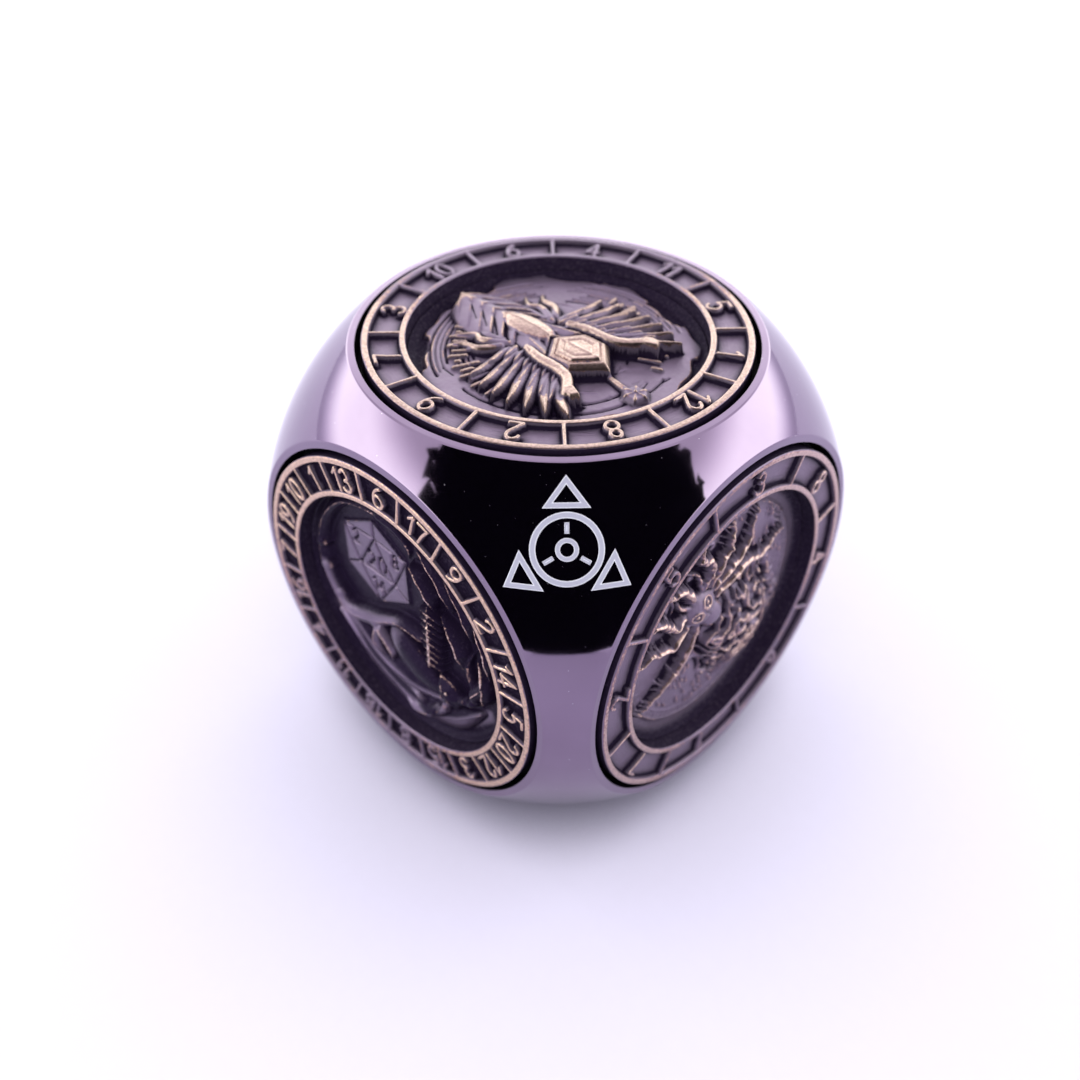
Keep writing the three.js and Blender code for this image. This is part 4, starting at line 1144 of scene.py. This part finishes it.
dress(body_piece(), gunmetal(), "body", "gunmetal_plating", "body")
mark_finish = etched()
dress(mark_piece("index_mark_front", (1, -1, 1)), mark_finish, "body", "gunmetal_plating")
dress(mark_piece("index_mark_back", (-1, 1, -1)), mark_finish, "body", "gunmetal_plating")
for order, face in enumerate(FACES):
    # Painted light: each dial's brass is a lighter or darker copy, by its tone, as the dials are lit
    # differently.
    name, gold = face.name, shade(GOLD, *face.tone)
    ring_finish = brass(f"antique_brass_dial_{name}", gold, PATINA, 0.24)
    dress(dial_piece(face, 100 + 10 * order), ring_finish, f"dial_{name}", "aged_brass", f"dial_{name}")
    # Painted light: the d20 relief gets lighter gold and patina than the other brass, for painted highlights.
    if name == "d20":
        finish = brass("antique_brass_polished_relief", (0.74, 0.57, 0.52), (0.2, 0.146, 0.225), 0.08)
    else:
        finish = brass(f"antique_brass_relief_{name}", gold, PATINA, 0.27)
    dress(medallion_piece(face), finish, f"dial_{name}", "dark_brass", f"medallion_{name}")
    for part, metal in inside_parts.items():
        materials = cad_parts[f"{part}_{name}"].data.materials
        materials.clear()
        materials.append(metal)

# ---- Stage: floor, light, dark card and camera ----

TABLE_REACH = 3000
CONTACT_SHADE = 6.5  # how far from the die the floor darkens
CAMERA_PLACE = (56.35, -60.95, 70.9)
CAMERA_TARGET = (0.0, -2.1, -1.6)
FOCUS_RADIUS = 22  # the near side of the die
LILAC = (0.86, 0.8, 1.0)
WHITE = (0.95, 1.01, 0.93)
PALE = (0.94, 0.9, 0.995)

scene = bpy.context.scene
scene.view_settings.view_transform = "Standard"


def sheet(name, corners, material):
    mesh = bpy.data.meshes.new(name)
    mesh.from_pydata([tuple(c * MM for c in corner) for corner in corners], [], [tuple(range(len(corners)))])
    mesh.materials.append(material)
    piece = bpy.data.objects.new(name, mesh)
    scene.collection.objects.link(piece)
    return piece


table = new_material("white_table")
table_colour = table.blend(table.noise(0.8, 4), (0.6, 0.572, 0.69), (0.618, 0.59, 0.712))
# Painted contact shadow: the floor's colour darkens near the die, by an occlusion node.
contact_shadow = table.node("AmbientOcclusion", {"Distance": CONTACT_SHADE * MM}, samples=6).outputs["AO"]
table_colour = table.blend(table.span(contact_shadow, 0.0, 0.85), (0.2, 0.185, 0.26), table_colour)
table_finish = table.surface(Base_Color=table_colour, Roughness=0.6, Specular_IOR_Level=0.2)
sheet("table", [(x * TABLE_REACH, y * TABLE_REACH, -FACE) for x, y in ((-1, -1), (1, -1), (1, 1), (-1, 1))],
      table_finish)

# The room: dim at the horizon, brightest where windows would be, and a little less overhead
room = Graph(bpy.data.worlds.new("white_room"))
scene.world = room.owner
rise = room.node("SeparateXYZ", {0: room.coordinates["Generated"]}).outputs[2]
glow = room.plus(room.span(rise, 0.0, 0.2, 0.0, 3.05), 1.3)
glow = room.less(glow, room.span(rise, 0.38, 0.65, 0.0, 2.8))
tint = room.blend(room.span(rise, 0.0, 0.2), LILAC, WHITE)
tint = room.blend(room.span(rise, 0.38, 0.65), tint, PALE)
background = room.node("Background", {"Color": tint, "Strength": glow})
room.node("OutputWorld", {"Surface": background.outputs[0]})

camera_data = bpy.data.cameras.new("camera")
camera_data.lens = 39.2
camera_data.sensor_width = 36
camera_data.clip_start = 0.005
camera = bpy.data.objects.new("camera", camera_data)
scene.collection.objects.link(camera)
camera.location = Vector(CAMERA_PLACE) * MM
camera.rotation_euler = (Vector(CAMERA_TARGET) * MM - camera.location).to_track_quat("-Z", "Y").to_euler()
scene.camera = camera

# Focus on the near side of the die, from wherever the camera stands
middle = bpy.data.objects.new("middle", None)
focus = bpy.data.objects.new("focus", None)
for spot in (middle, focus):
    scene.collection.objects.link(spot)
follow = focus.constraints.new("COPY_LOCATION")
follow.target = camera
leash = focus.constraints.new("LIMIT_DISTANCE")
leash.target = middle
leash.distance = FOCUS_RADIUS * MM
leash.limit_mode = "LIMITDIST_INSIDE"
camera_data.dof.use_dof = True
camera_data.dof.focus_object = focus
camera_data.dof.aperture_fstop = 26

# What the polished corner reflects: the dark shape of a camera and the hands that hold it
card_shape = [
    (-104, 32), (-98, 58), (-40, 74), (52, 74), (100, 60), (130, 30), (146, -8), (138, -50), (104, -84),
    (76, -105), (44, -119), (8, -125), (-28, -118), (-62, -101), (-94, -76), (-118, -44), (-120, -6),
]
outline = np.array(curve(card_shape + card_shape[:1], 20)[:-1])
ragged = np.where(outline[:, 1:] > 15, 6.0, 0.3)
outline += np.random.default_rng(3).normal(0, 1.0, outline.shape) * ragged
turned = camera.rotation_euler.to_matrix()
black = (0.004, 0.003, 0.006, 1.0)
dark = new_material("dark_card").surface(Base_Color=black, Roughness=0.9, Specular_IOR_Level=0.0)
card = sheet("dark_card", [camera.location / MM + turned @ Vector((u, v, 0.0)) for u, v in outline], dark)
card.visible_camera = False
card.visible_diffuse = False
